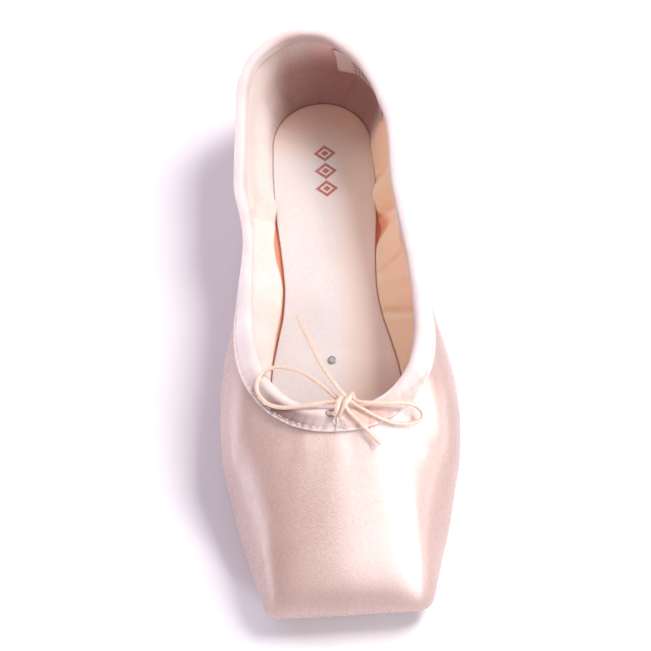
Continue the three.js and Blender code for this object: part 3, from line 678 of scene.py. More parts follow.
def floorRise(y):
    # Arch: rise * sin^2 under the waist. Toe: spring * square of the share ahead of the outsole.
    t = (y / length - shoe["archStart"]) / (shoe["archEnd"] - shoe["archStart"])
    arch = shoe["archRise"] * np.sin(np.pi * np.clip(t, 0, 1)) ** 2
    front = shoe["openingFront"] * length
    ahead = np.maximum(0, (front - y) / (front + length / 2))
    return arch + shoe["toeSpring"] * ahead ** 2


def soleTop(y):
    return shoe["soleThickness"] + floorRise(y)


def insoleTop(y):
    return soleTop(y) + shoe["quarterWall"] + 2 * shoe["seatGap"] + shoe["insoleThickness"]


def chained(last, first):
    return lambda place: last(first(place))


def halfShoe(side):
    # One side as functions of the place along the widest outline.
    lines = {"body": bodyLine(side), "throat": toplineLine(side), "opening": openingLine(side),
             "insole": insoleLine(side)}
    arcs = {}
    for key, line in lines.items():
        inner = [line["arcAt"](y * length) for y in sections[key][1:-1]]
        arcs[key] = np.array([0, *inner, line["length"]])
    half = {"body": lines["body"]["at"], "length": lines["body"]["length"]}
    for key in ("throat", "opening", "insole"):
        half[key] = chained(lines[key]["at"], curveThrough(arcs["body"], arcs[key]))
    scales = {"widest": shoe["heelHeight"], "shoulder": shoe["heelHeight"], "over": halfBall,
              "under": halfBall, "bulge": 1, "box": 1}
    for key, scale in scales.items():
        half[key] = curveThrough(arcs["body"], np.array(sections[key]) * scale)
    places = curveThrough(spread["column"], np.array(spread["arc"]) * half["length"])
    half["places"] = places(np.arange(spread["column"][-1] + 1))
    return half


def sectionLines(half, pleats):
    # For every column the line under the foot, out from the opening to the widest line, and the line
    # from there up to the topline. Both turn as superellipse quarters of the section's power.
    place = half["places"]
    power = shoe["sectionPower"]
    c, e, a = half["body"](place), half["throat"](place), half["opening"](place)
    widest = half["widest"](place)[:, None]
    reachAll = np.linalg.norm(c - a, axis=1)[:, None]
    reach = np.minimum(half["under"](place)[:, None], reachAll - shoe["lastedMargin"])
    flat = reachAll - reach
    angle = np.linspace(0, np.pi / 2, 40)[None, :]
    turn = np.minimum(np.sin(angle) ** (2 / power), 1)
    out = np.concatenate([flat * np.linspace(0, 1, 16)[None, :-1], flat + reach * turn], 1)
    xy = a[:, None] + (c - a)[:, None] * (out / reachAll)[..., None]
    inside = np.clip((out - flat) / reach, 0, 1)
    floor = soleTop(xy[..., 1]) + shoe["seatGap"]
    z = floor + (widest - floor) * (1 - (1 - inside ** power) ** (1 / power))
    if pleats:
        edge = shoe["openingFront"] * length - shoe["soleOverlap"] - shoe["seatGap"]
        z -= shoe["pleatDrop"] * smoothStep((edge - xy[..., 1]) / shoe["soleOverlap"]) * (1 - inside)
    under = np.concatenate([xy, z[..., None]], 2)

    rim = rimHeight(e[:, 1])[:, None]
    run = np.maximum(np.linalg.norm(e - c, axis=1), 1e-6)[:, None]
    over = half["over"](place)[:, None]
    partial = run < over
    whole = np.where(partial, np.arccos(np.clip(1 - run / over, 0, 1) ** (power / 2)), np.pi / 2)
    angle = np.linspace(0, 1, 60)[None, :] * whole
    inwards = 1 - np.abs(np.cos(angle)) ** (2 / power)
    upwards = np.sin(angle) ** (2 / power)
    share = inwards / inwards[:, -1:]
    straight = np.linspace(0, 1, 41)[None, 1:]
    turned = np.where(partial, share, share * over / run)
    later = np.where(partial, 1, over / run + (1 - over / run) * straight)
    w = np.concatenate([turned, later], 1)
    up = np.concatenate([upwards / upwards[:, -1:], np.ones_like(later)], 1)
    crown = np.minimum(half["shoulder"](place)[:, None], rim - shoe["rimRise"])
    slope = w * (1 + half["bulge"](place)[:, None] * (1 - w))
    z = widest + (crown - widest) * up + (rim - crown) * slope
    xy = c[:, None] + (e - c)[:, None] * w[..., None]
    side = np.concatenate([xy, z[..., None]], 2)
    turnShare = lineLengths(side[:, :60]) / lineLengths(side)
    return under, side, np.minimum(0.5, shoe["crownSplit"] * turnShare)[:, None]


def joined(right, left):
    # Right half from toe to heel, then the left half back, as columns that close round the shoe.
    return np.concatenate([right, left[-2:0:-1]])


halves = {side: halfShoe(side) for side in (1, -1)}
columns = 2 * spread["column"][-1]
half = columns // 2
startPlace = np.concatenate([halves[1]["places"][:-1], -halves[-1]["places"][:0:-1]])
endPlace = np.concatenate([halves[1]["places"][1:], -halves[-1]["places"][-2::-1]])
columnSide = joined(np.ones(half + 1), -np.ones(half + 1))
columnPlace = joined(halves[1]["places"], halves[-1]["places"])


def aroundShoe(key):
    # What both halves give for the key, for the columns round the shoe
    return joined(*(halves[side][key](halves[side]["places"]) for side in (1, -1)))


def surfaceColumns(rows, pleats):
    # rows: (underFlat, underTurn, crown, upper) counts. Gives (columns, rows, 3).
    grids = []
    for side in (1, -1):
        under, upper, split = sectionLines(halves[side], pleats)
        low = np.concatenate([np.linspace(0, 0.45, rows[0], endpoint=False),
                              np.linspace(0.45, 1, rows[1], endpoint=False)])[None, :]
        high = np.concatenate([split * np.linspace(0, 1, rows[2], endpoint=False)[None, :],
                               split + (1 - split) * np.linspace(0, 1, rows[3])[None, :]], 1)
        grids.append(np.concatenate([alongLines(under, low * lineLengths(under)[:, None]),
                                     alongLines(upper, high * lineLengths(upper)[:, None])], 1))
    return joined(*grids)


outerRows = (8, 20, 24, 30)
print("the last has", columns, "columns")


# Upper: satin outside, cotton lining inside, as one closed skin with its real wall

upper = {
    "pleatPitch": 3.1, "pleatDepth": 0.55, "dents": 0.12,
    "seamPlace": 12, "seamSlant": 0.28, "backSeamFrom": 95, "seamWidth": 0.45,
    "crown": 3.0, "crownPlace": (-4, -95), "crownSize": (28, 36), "crownFrom": -62.5,
    "softFrom": 9, "softTimes": 200, "leastWall": 0.35,
}
lining = {"gap": 0.15, "tuckHeight": 0.5, "tuckPower": 0.8, "bare": 0.02}
# Where the lining stands off the insole, as bells along y: side, y, length, gap, height of the bare margin
liningGaps = {"side": [-1, -1, 1], "y": [36, 2, 44], "long": [13, 17, 6],
              "gap": [2.0, 0.7, 2.2], "bare": [0.05, 0.02, 0.22]}
# Folds of the lining: side, y and height share of the wall, size along and up, push inwards
liningFolds = {
    "side": [-1, -1, -1, 1, 1, 1, 1, 1, -1, -1],
    "y": [57, 48, 8, 84, 60, 30, 10, -10, -20, 88],
    "up": [0.25, 0.7, 0.5, 0.35, 0.32, 0.5, 0.55, 0.45, 0.5, 0.5],
    "long": [5, 9, 15, 10, 6.5, 11, 9, 10, 16, 12],
    "tall": [0.26, 0.3, 0.4, 0.35, 0.3, 0.35, 0.35, 0.35, 0.4, 0.4],
    "push": [3.2, 1.6, 1.0, 3.0, 4.4, 1.6, 1.4, 1.0, 0.8, 0.9],
}
# Creases of the lining: side, y at the bottom and at the top of the wall, reach up the wall, width, depth
liningCreases = {
    "side": [-1, -1, 1, 1, 1, 1, 1, -1, -1, 1],
    "low": [51, -2, 70.5, 51, 21, 4.7, 110, 111, 104, 102],
    "high": [34, -8, 62, 42, 28, -17, 108, 108, 100, 98],
    "from": [0.1, 0.3, 0.0, 0.0, 0.1, 0.1, 0.0, 0.0, 0.0, 0.0],
    "to": [0.9, 0.8, 0.6, 0.7, 0.95, 0.95, 0.45, 0.5, 0.4, 0.4],
    "width": [1.3, 2.5, 1.7, 1.9, 0.7, 1.6, 1.0, 1.0, 1.2, 1.2],
    "depth": [1.3, 0.7, 1.8, 1.8, 1.0, 1.4, 0.8, 0.8, 0.8, 0.8],
}


# Puckers under the casing (side 0, at x and y) and soft troughs of the quarters (side 1 or -1, at y and z):
# turn in degrees, then half length, half width and depth
satinTroughs = {
    "side": [0, 0, 0, 0, 1, 1, 1, -1, -1, -1],
    "across": [4, 15, -7, -17, 30, 2, 58, 34, 6, 62],
    "up": [-68, -64, -69, -63, 30, 26, 28, 28, 27, 30],
    "turn": [-80, -66, -102, -118, 62, 48, 70, 58, 50, 75],
    "long": [6, 6, 6, 6, 13, 12, 11, 12, 12, 10],
    "wide": [2.2, 2.2, 2.4, 2.2, 4, 5, 4, 4, 5, 4],
    "deep": [0.14, 0.16, 0.14, 0.12, 0.5, 0.45, 0.35, 0.5, 0.45, 0.35],
}


def satinMaterial():
    material, tree, shader = newMaterial("satin", {
        "Roughness": 0.28, "Sheen Weight": 0.3, "Sheen Roughness": 0.35, "Specular IOR Level": 1.0})
    place = inMillimetres(tree)
    slub = useGroup(tree, streaks, place, Scale=1.4, Stretch=0.12)["Value"]
    warp = useGroup(tree, streaks, place, Scale=1.6, Stretch=14.0)["Value"]
    yarn = useGroup(tree, threads, place, Pitch=0.5, Slant=0.25, Wander=0.5)
    cloud = noise(tree, place, 0.035, 3)
    base = mixColours(tree, ramp(tree, cloud, 0.35, 0.7), colour("#b2928a"), colour("#b99b93"))
    base = mixColours(tree, ramp(tree, warp, 0.35, 0.75, 0.0, 0.3), base, colour("#d2b5ac"))
    base = mixColours(tree, ramp(tree, slub, 0.45, 0.75, 0.0, 0.45), base, colour("#a2766d"))
    # Painted shade: the satin goes darker in the pleats' valleys under the toe
    base = stainAndPaintedLight(tree, base, "valleyShade", 0.75, "#9a6d63")
    seam = seamHeight(tree)
    base = mixColours(tree, calc(tree, "MULTIPLY", seam, 0.45), base, colour("#91645b"))
    tree.links.new(base, shader.inputs["Base Color"])
    tree.links.new(ramp(tree, slub, 0.3, 0.7, 0.22, 0.33), shader.inputs["Roughness"])
    sunk = calc(tree, "SUBTRACT", 1.0, seam)
    bumpInto(tree, shader, (warp, 0.05, 0.5), (slub, 0.1, 0.6), (yarn["Height"], 0.04, 0.7),
             (sunk, 0.35, 1.0))
    return material


def seamHeight(tree):
    # The satin's sewn joins: exp(-(distance / width)^2) from a slanted line on each side, and from the line
    # up the back of the heel.
    parts = addNode(tree, "SeparateXYZ", {0: inMillimetres(tree)}).outputs
    line = calc(tree, "MULTIPLY_ADD", parts["Z"], upper["seamSlant"], upper["seamPlace"])
    offSide = calc(tree, "ABSOLUTE", calc(tree, "SUBTRACT", parts["Y"], line))
    before = calc(tree, "MAXIMUM", calc(tree, "SUBTRACT", upper["backSeamFrom"], parts["Y"]), 0.0)
    offBack = calc(tree, "ADD", calc(tree, "ABSOLUTE", parts["X"]), before)
    near = calc(tree, "DIVIDE", calc(tree, "MINIMUM", offSide, offBack), upper["seamWidth"])
    return calc(tree, "EXPONENT", calc(tree, "MULTIPLY", calc(tree, "MULTIPLY", near, near), -1.0))


def liningMaterial():
    material, tree, shader = newMaterial("lining", {
        "Roughness": 0.85, "Sheen Weight": 0.2, "Subsurface Radius": (1.0, 0.45, 0.25),
        "Subsurface Scale": 8 * mm})
    place = clothUv(tree)
    weave = useGroup(tree, threads, place, Pitch=0.7, Slant=0.0, Wander=0.5)
    cloud = noise(tree, inMillimetres(tree), 0.06, 4)
    base = mixColours(tree, ramp(tree, cloud, 0.35, 0.7), colour("#ece0dc"), colour("#f3ebea"))
    base = mixColours(tree, calc(tree, "MULTIPLY", weave["Mask"], 0.25), base, colour("#d9b49d"))
    # Painted warm glow on the right lining: warm light through the wall and warm bounce, painted into the
    # colour
    base = stainAndPaintedLight(tree, base, "warmGlow", 0.78, "#fdd6a9")
    # Painted shade round the inside of the heel, partly a darker cloth; the speckled nap below follows this
    # shade
    base = stainAndPaintedLight(tree, base, "counterShade", 0.88, "#9a6257")
    lint = noise(tree, inMillimetres(tree), 1.7, 3, 0.7)
    nap = calc(tree, "MULTIPLY", ramp(tree, lint, 0.45, 0.68), markOf(tree, "counterShade"))
    base = mixColours(tree, calc(tree, "MULTIPLY", nap, 0.45), base, colour("#74483f"))
    glow = ramp(tree, markOf(tree, "thick"), 0.0, 1.0, 0.65, 0.08)
    tree.links.new(glow, shader.inputs["Subsurface Weight"])
    base = stainAndPaintedLight(tree, base, "glue", 0.9, "#e28c5e")
    tree.links.new(base, shader.inputs["Base Color"])
    bumpInto(tree, shader, (cloud, 0.8, 0.3), (lint, 0.25, 0.5), (weave["Height"], 0.08, 0.5))
    return material


def columnHeights(grid):
    # Share of the wall's height between the insole and the topline, and the y of each point
    y = grid[..., 1]
    low = insoleTop(y)
    return (grid[..., 2] - low) / np.maximum(grid[:, -1:, 2] - low, 1), y


def tuckedLining(grid):
    # Below tuckHeight the wall slopes in to the insole's edge: it mixes from the edge plus a gap to the wall
    # by share ** tuckPower. Gives the wall and how far up it the bare margin shows.
    up, y = columnHeights(grid)
    edge = aroundShoe("insole")
    seat = aroundShoe("opening")
    out = unit(edge - seat)
    near = edge[:, 1]
    gap = np.full(columns, lining["gap"])
    bare = np.full(columns, lining["bare"])
    for f in rowsOf(liningGaps):
        here = (columnSide == f["side"]) * bell(near - f["y"], f["long"])
        gap += here * f["gap"]
        bare += here * f["bare"]
    start = edge + out * gap[:, None]
    share = smoothStep(up / lining["tuckHeight"]) ** lining["tuckPower"]
    ahead = smoothStep((-75 - near) / 20)[:, None]
    share = share + (1 - share) * ahead
    room = np.einsum("ij,ikj->ik", out, grid[..., :2] - start[:, None])
    share = np.where(room > 0, share, 1)
    tucked = grid.copy()
    tucked[..., :2] = start[:, None] + (grid[..., :2] - start[:, None]) * share[..., None]
    return tucked, bare[:, None]


def liningRelief(grid):
    # Soft bumps: push * exp of the squared offsets. Creases: the same across a slanted line.
    up, y = columnHeights(grid)
    relief = np.zeros(up.shape)
    side = columnSide[:, None]
    for f in rowsOf(liningFolds):
        bump = bell(y - f["y"], f["long"]) * bell(up - f["up"], f["tall"])
        relief += (side == f["side"]) * f["push"] * bump
    for f in rowsOf(liningCreases):
        line = f["low"] + (f["high"] - f["low"]) * up
        within = smoothStep((up - f["from"]) / 0.15 + 1) * smoothStep((f["to"] - up) / 0.2 + 0.5)
        relief -= (side == f["side"]) * f["depth"] * bell(y - line, f["width"]) * within
    wrinkle = 0.25 * waves(y + 9 * up, 3, 11) * bell(up - 0.5, 0.45)
    return (relief + wrinkle) * smoothStep((up + 0.05) / 0.15) * smoothStep((1.02 - up) / 0.15)


def satinRelief(grid, place):
    # Pleats under the toe: rounded ridges with sharp valleys, |sin| of the wandering place round the shoe,
    # deepest at the outsole and gone at the widest line. Above, soft dents and puckers at the casing's seam.
    z, y, x = grid[..., 2], grid[..., 1], grid[..., 0]
    widest = grid[:, sum(outerRows[:2]), 2][:, None]
    low = np.clip((z - soleTop(y)) / np.maximum(widest - soleTop(y), 1), 0, 1)
    wander = place + 0.9 * waves(place, 5, 17)
    ridge = np.abs(np.sin(np.pi * wander / upper["pleatPitch"]))
    ahead = smoothStep((-38 - y) / 24)
    fade = (1 - smoothStep(low / 0.8)) * (0.25 + 0.75 * ahead)
    pleats = upper["pleatDepth"] * (ridge ** 0.7 - 0.75) * fade
    # Mask of the pleats' valleys, used to paint shade into the satin's colour
    valleyShade = (1 - ridge) ** 3 * fade
    dents = upper["dents"] * (waves(x, 8, 23) + waves(y + 0.4 * x, 9, 31)) * smoothStep(low)
    for f in rowsOf(satinTroughs):
        first, second = (y, z) if f["side"] else (x, y)
        here = (columnSide[:, None] == f["side"]) if f["side"] else z > 24
        turn = np.radians(f["turn"])
        along = (first - f["across"]) * np.cos(turn) + (second - f["up"]) * np.sin(turn)
        off = (second - f["up"]) * np.cos(turn) - (first - f["across"]) * np.sin(turn)
        shape = bell(off, f["wide"]) - 0.5 * bell(np.abs(off) - 2 * f["wide"], f["wide"])
        dents = dents - here * f["deep"] * shape * bell(along, f["long"]) * smoothStep(low)
    high = smoothStep((z - 20) / 9)
    crown = upper["crown"] * bell(x - upper["crownPlace"][0], upper["crownSize"][0])
    crown = crown * bell(y - upper["crownPlace"][1], upper["crownSize"][1]) * high
    crown = crown * smoothStep((upper["crownFrom"] - y) / 16)
    return pleats + dents + crown, valleyShade


def softened(grid):
    # The box's ridges made rounder: each point goes a share of the way to the mean of its four neighbours,
    # again and again. The share fades out below the box's shoulder and towards the casing.
    y, z = grid[..., 1:2], grid[..., 2:]
    share = smoothStep((z - upper["softFrom"]) / 14) * smoothStep((upper["crownFrom"] - 3 - y) / 10)
    for _ in range(upper["softTimes"]):
        ends = np.concatenate([grid[:, :1], grid, grid[:, -1:]], 1)
        mean = (np.roll(grid, 1, axis=0) + np.roll(grid, -1, axis=0) + ends[:, 2:] + ends[:, :-2]) / 4
        grid = grid + share * (mean - grid)
    return grid


# Where each mark of the lining begins and how long it takes: x and y in mm, heights as shares of the wall
liningTints = {
    "glueFront": (-52, 14), "glueBack": (66, -12), "glueHeight": (0.5, 0.8), "warmGlowBack": (82, 14),
    "counterShadeLeft": (58, 34), "counterShadeRight": (84, 14), "rightFrom": (4, 10), "heelSide": (-26, 14),
    "paleTop": (0.42, 0.45), "paleShare": 0.55, "thinShare": 0.35, "thinBack": (62, 24),
}


def liningMarks(plain, inner, bare):
    # Masks: glue along the insole's edge, painted warm glow on the right side, painted shade round the inside
    # of the heel (partly a darker cloth), and where the wall is too thick for light to pass.
    tints = liningTints
    share, y = columnHeights(plain)
    left = columnSide[:, None] < 0
    low, tall = tints["glueHeight"]
    glue = (1 - rises(share, low * bare, tall * bare)) * rises(y, *tints["glueBack"])
    glue = glue * rises(y, *tints["glueFront"])
    # Painted warm glow over the right side, ending towards the heel
    warmGlow = (1 - rises(y, *tints["warmGlowBack"])) * ~left
    right = rises(inner[..., 0], *tints["rightFrom"])
    # Painted shade inside the heel: it starts further back on the right and is lighter towards the topline
    start, width = (a + (b - a) * right for a, b in zip(tints["counterShadeLeft"], tints["counterShadeRight"]))
    counterShade = rises(y, start, width) * rises(inner[..., 0], *tints["heelSide"])
    counterShade = counterShade * (1 - tints["paleShare"] * rises(share, *tints["paleTop"]))
    thin = tints["thinShare"] + (1 - tints["thinShare"]) * rises(y, *tints["thinBack"])
    return {"glue": glue, "warmGlow": warmGlow, "counterShade": counterShade, "thick": np.maximum(counterShade, left * thin)}


def addUpper():
    smooth = surfaceColumns(outerRows, False)
    normal = normalsOf(smooth)
    outer = surfaceColumns(outerRows, True)
    relief, valleyShade = satinRelief(smooth, np.abs(columnPlace)[:, None])
    outer = softened(outer + normal * relief[..., None])
    up = np.arange(smooth.shape[1])[None, :]
    turned = smoothStep((up - outerRows[0]) / outerRows[1])
    box = aroundShoe("box")[:, None]
    above = 1 - 0.8 * smoothStep((up - sum(outerRows[:3])) / outerRows[3])
    wall = shoe["quarterWall"] + (shoe["boxWall"] - shoe["quarterWall"]) * box * turned * above
    plain = smooth - normal * wall[..., None]
    tucked, bare = tuckedLining(plain)
    inner = tucked - normal * liningRelief(tucked)[..., None]
    # The lining stays leastWall or more inside the satin: where the gap along the normal is less, it
    # moves in.
    short = np.maximum(upper["leastWall"] - np.sum((outer - inner) * normal, axis=2), 0)
    inner = inner - normal * short[..., None]
    rings = np.concatenate([outer, inner[:, ::-1]], 1).transpose(1, 0, 2)
    rows = len(rings)
    faces = ringFaces(rows, columns, True)
    uv = closedUv(startPlace, endPlace, arcsOf(rings))
    slotOf = np.repeat(np.arange(rows) >= smooth.shape[1], columns)
    none = np.zeros_like(valleyShade)
    marks = {"valleyShade": np.concatenate([valleyShade, none], 1).T}
    for key, values in liningMarks(plain, inner, bare).items():
        marks[key] = np.concatenate([none, values[:, ::-1]], 1).T
    made = makeObject("upper_satin", rings.reshape(-1, 3), faces, [satinMaterial(), liningMaterial()],
                      uv, slotOf, marks)
    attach(made, "root")
    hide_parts("upper")
    print("upper has", len(faces) * 2, "triangles")
    return smooth, normal, plain, inner


smooth, smoothNormal, liningWall, liningSkin = addUpper()


# Binding: a folded casing of cotton tape over the topline, gathered round the throat

binding = {
    "thick": 0.8, "gap": 0.42, "outside": 7, "inside": 5, "fullness": 1.3,
    "gather": 0.3, "gatherPitch": 3.4, "rimWave": 0.18,
    "lift": 0.8, "liftPlace": (-18, 13), "ruffle": 0.3, "rufflePitch": 2.1,
    "hole": (-2.9, -54.7), "holeSize": 1.6, "holeDepth": 1.6,
    "scar": (27.2, -46.6), "scarLine": (0.72, 0.69), "scarSize": (6.5, 0.7), "scarDepth": 0.45,
    "scarLip": 0.2, "scarLipSize": (7, 2.4),
    "stitchRow": 4, "stitchDown": 0.81, "stitchSink": 0.35,
    "stitchPitch": 2.6, "stitchLength": 1.7, "stitchRadius": 0.17,
}


def casingMaterial():
    material, tree, shader = newMaterial("casing", {"Roughness": 0.8, "Sheen Weight": 0.3})
    weave = useGroup(tree, threads, clothUv(tree), Pitch=0.55, Slant=0.0, Wander=0.4)
    cloud = noise(tree, inMillimetres(tree), 0.09, 4)
    base = mixColours(tree, ramp(tree, cloud, 0.3, 0.7), colour("#e0cecb"), colour("#e9dddb"))
    base = mixColours(tree, calc(tree, "MULTIPLY", weave["Mask"], 0.3), base, colour("#d0b6b0"))
    # Painted shade in the valleys of the gathers; the sunk stitch line and the scar are darkened with it
    base = stainAndPaintedLight(tree, base, "valleyShade", 0.5, "#c79f96")
    # Painted shade on the casing's front left, where it faces away from the key light, with some wear
    base = stainAndPaintedLight(tree, base, "shadeAndWear", 0.95, "#744b45")
    # Painted warm reflection on the casing right of the knot, under the right loop
    base = stainAndPaintedLight(tree, base, "warmReflection", 0.6, "#dda189")
    # Painted shade on the casing's inside at the heel
    base = stainAndPaintedLight(tree, base, "heel", 0.5, "#a9766b")
    # Painted shade: near black where the cord leaves the casing, for the dark inside of the hole
    base = mixColours(tree, ramp(tree, markOf(tree, "hole"), 0.15, 0.5), base, colour("#3a211c"))
    tree.links.new(base, shader.inputs["Base Color"])
    bumpInto(tree, shader, (cloud, 0.5, 0.3), (weave["Height"], 0.07, 0.6))
    return material


def bindingSection():
    # The tape as a hairpin: how far its faces stand off the wall, the distances below the topline on the
    # outside and the inside, and the fold between them. Each row of the fold is the share of the way from
    # satin to lining, the rise over the topline and the push along the normal.
    far = binding["gap"] + binding["thick"]
    near = binding["gap"]
    down = np.linspace(binding["outside"], 0, 12)
    back = np.linspace(0, binding["inside"], 8)
    top = np.array([[0, 0.8, 0.6], [0.2, 1.2, 0.35], [0.5, binding["fullness"], 0], [0.8, 1.2, -0.35],
                    [1, 0.8, -0.6]]) * [1, far, far]
    return far, near, down, back, top


def addBinding(material):
    far, near, down, back, top = bindingSection()
    normal = smoothNormal[:, -1:]
    outerDown = smooth[:, ::-1]
    innerDown = liningWall[:, ::-1]
    rise = unit(smooth[:, -1] - smooth[:, -2])[:, None]

    def outside(distances, off):
        return alongLines(outerDown, np.broadcast_to(distances, (columns, len(distances)))) + normal * off

    def inside(distances, off):
        return alongLines(innerDown, np.broadcast_to(distances, (columns, len(distances)))) - normal * off

    middle = smooth[:, -1:] + (liningWall[:, -1:] - smooth[:, -1:]) * top[None, :, :1]
    fold = middle + rise * top[None, :, 1:2] + normal * top[None, :, 2:3]
    innerFold = np.concatenate([liningWall[:, -1:] + rise * near - normal * near,
                                smooth[:, -1:] + rise * near + normal * near], 1)
    lip = binding["thick"] * 0.35
    rounded = np.concatenate([outside(down[:1], near), outside(down[:1] + 0.15, near + lip)], 1)
    grid = np.concatenate([rounded, outside(down, far), fold, inside(back, far),
                           inside(back[-1:] + 0.15, near + lip), inside(back[-1:], near), innerFold,
                           outside(np.array([binding["outside"] / 2]), near)], 1)
    foldPlace = 2 + len(down)
    rimPath = grid[:, foldPlace + 2]
    around = arcsOf(rimPath)
    arc = np.minimum(around, around[-1] - around)[:, None] * columnSide[:, None]
    y = rimPath[:, 1][:, None]
    curved = 0.15 + smoothStep((-25 - y) / 22) + 0.5 * smoothStep((y - 85) / 20)
    count = grid.shape[1]
    place = np.arange(count)[None, :]
    front = (place >= 1) & (place < foldPlace)
    down01 = np.clip((foldPlace - place) / len(down), 0, 1)
    wander = arc + 0.8 * waves(arc, 21, 13) + 1.5 * down01
    ripple = np.abs(np.sin(np.pi * wander / binding["gatherPitch"]))
    relief = binding["gather"] * (ripple - 0.35) * curved * down01 * front
    left = bell(arc - binding["liftPlace"][0], binding["liftPlace"][1]) * (columnSide[:, None] < 0)
    ruffle = np.sin(2 * np.pi * (arc + 0.4 * waves(arc, 27, 5)) / binding["rufflePitch"])
    lift = binding["lift"] + binding["ruffle"] * ruffle * down01 ** 4
    relief = relief + lift * left * down01 ** 3 * front
    relief = relief - binding["stitchSink"] * bell(down01 - binding["stitchDown"], 0.07) * front
    overRim = (place >= foldPlace) * (place < 2 * foldPlace)
    relief = relief + binding["rimWave"] * waves(arc, 23, 19) * overRim
    # Mask of the hole: it dents the casing here, and the casing's colour paints the shade inside it
    hole = bell(np.linalg.norm(grid[..., :2] - binding["hole"], axis=2), binding["holeSize"]) * front
    scarLine = unit(np.array(binding["scarLine"]))
    away = grid[..., :2] - binding["scar"]
    along = away @ scarLine
    across = away @ np.array([-scarLine[1], scarLine[0]])
    scar, scarLip = (bell(along, long) * bell(across, wide) * front
                     for long, wide in (binding["scarSize"], binding["scarLipSize"]))
    relief = relief - binding["holeDepth"] * hole - binding["scarDepth"] * scar + binding["scarLip"] * scarLip
    grid = grid + normal * relief[..., None]
    seam = bell(down01 - binding["stitchDown"], 0.05) * front
    # Where the casing gets painted shade: the gathers' valleys, with the stitch line and the scar
    valleyShade = (1 - ripple) ** 2 * curved * down01 * front + 0.6 * seam + scar
    rings = grid.transpose(1, 0, 2)
    faces = ringFaces(count, columns, True)
    starts = np.concatenate([around, [around[-1] + 0.4]])
    uv = closedUv(starts[:-1], starts[1:], arcsOf(rings))
    # The casing's front left, below the cord: painted shade with some wear
    shadeAndWear = left * smoothStep((down01 - 0.1) / 0.3) * (1 - smoothStep((down01 - 0.85) / 0.15)) * front
    # Painted warm reflection on the casing under the right loop
    warmReflection = bell(arc - 11, 10) * (columnSide[:, None] > 0) * smoothStep((0.97 - down01) / 0.2) * front
    # Inside of the casing at the heel, which gets painted shade
    heel = smoothStep((place - 15) / 3) * smoothStep((y - 86) / 16) * smoothStep((grid[..., 0] + 24) / 14)
    marks = {"valleyShade": np.clip(valleyShade, 0, 1).T, "hole": hole.T, "shadeAndWear": shadeAndWear.T, "warmReflection": warmReflection.T,
             "heel": heel.T}
    made = makeObject("binding_tape", rings.reshape(-1, 3), faces, [material], uv, None, marks)
    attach(made, "root")
    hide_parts("binding")
    print("binding has", len(faces) * 2, "triangles")
    return grid


bindingGrid = addBinding(casingMaterial())


# Stitches along the casing's lower edge

def threadMaterial():
    material, tree, shader = newMaterial("thread", {"Roughness": 0.6, "Sheen Weight": 0.2})
    twist = noise(tree, inMillimetres(tree), 4.0, 2)
    tree.links.new(mixColours(tree, ramp(tree, twist, 0.3, 0.7), colour("#dcc6c0"), colour("#eadcd8")),
                   shader.inputs["Base Color"])
    bumpInto(tree, shader, (twist, 0.05, 0.5))
    return material


def addStitches(name, path, outwards, material):
    # One small spindle per stitch: sin(a) wide and cos(a) long, laid along the path by arrays.
    arcs = arcsOf(path)
    count = int(arcs[-1] / binding["stitchPitch"])
    at = (np.arange(count) + 0.5) * arcs[-1] / count
    centre = atArcs(path, arcs, at)
    along = unit(atArcs(path, arcs, at + 0.4) - centre)
    out = unit(atArcs(outwards, arcs, at))
    cross = unit(np.cross(along, out))
    out = np.cross(cross, along)
    angle = np.linspace(0.25, np.pi - 0.25, 6)
    turn = np.arange(6) / 6 * 2 * np.pi
    long = -np.cos(angle)[None, :, None, None] * binding["stitchLength"] / 2 * along[:, None, None]
    radius = binding["stitchRadius"] * np.sqrt(np.sin(angle))[None, :, None, None]
    lift = 0.6 * binding["stitchRadius"] * np.sin(angle)[None, :, None, None] * out[:, None, None]
    wide = np.cos(turn)[None, None, :, None] * cross[:, None, None] * radius
    high = np.sin(turn)[None, None, :, None] * out[:, None, None] * radius
    points = centre[:, None, None] + long + wide + high + lift
    faces = (stackFaces(6, 6)[None] + 36 * np.arange(count)[:, None, None]).reshape(-1, 4)
    made = makeObject(name, points.reshape(-1, 3), faces, [material])
    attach(made, "root")
    return made


thread = threadMaterial()
addStitches("binding_stitches", bindingGrid[:, binding["stitchRow"]], smoothNormal[:, -1], thread)


# Loose threads where the cord leaves the casing

fray = {"from": (-1.0, -55.6),
        "ends": [(-0.6, -62.2), (0.6, -60.6), (1.7, -61.8), (2.4, -59.4), (-1.8, -60.2), (3.4, -60.8),
                 (1.0, -58.4)],
        "radius": 0.17, "height": 0.3, "sway": 0.9}


def addFray(material):
    # Each thread goes from the hole to its end, swaying by a sine, over the nearest points of the casing
    # or the satin.
    casing = bindingGrid[:, 1:14].reshape(-1, 3)
    satin = smooth[:, sum(outerRows[:3]):].reshape(-1, 3)
    ground = np.concatenate([casing, satin])
    ground = ground[np.linalg.norm(ground[:, :2] - fray["from"], axis=1) < 12]
    lines = []
    for k, end in enumerate(fray["ends"]):
        share = np.linspace(0, 1, 7)[:, None]
        flat = np.array(fray["from"]) * (1 - share) + np.array(end) * share
        flat[:, 0] += fray["sway"] * np.sin(share[:, 0] * (4 + k) + 1.7 * k) * share[:, 0]
        near = np.argsort(np.linalg.norm(ground[None, :, :2] - flat[:, None], axis=2), axis=1)[:, :6]
        height = ground[near, 2].max(axis=1) + fray["height"] + 0.5 * np.sin(np.pi * share[:, 0])
        lines.append(throughPoints(np.column_stack([flat, height]), 0.3))
    made = tubesObject("loose_threads", lines, fray["radius"], 6, material)
    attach(made, "root")


addFray(thread)


# Label: a plain tape sewn under the casing at the heel, with rows of small lozenges

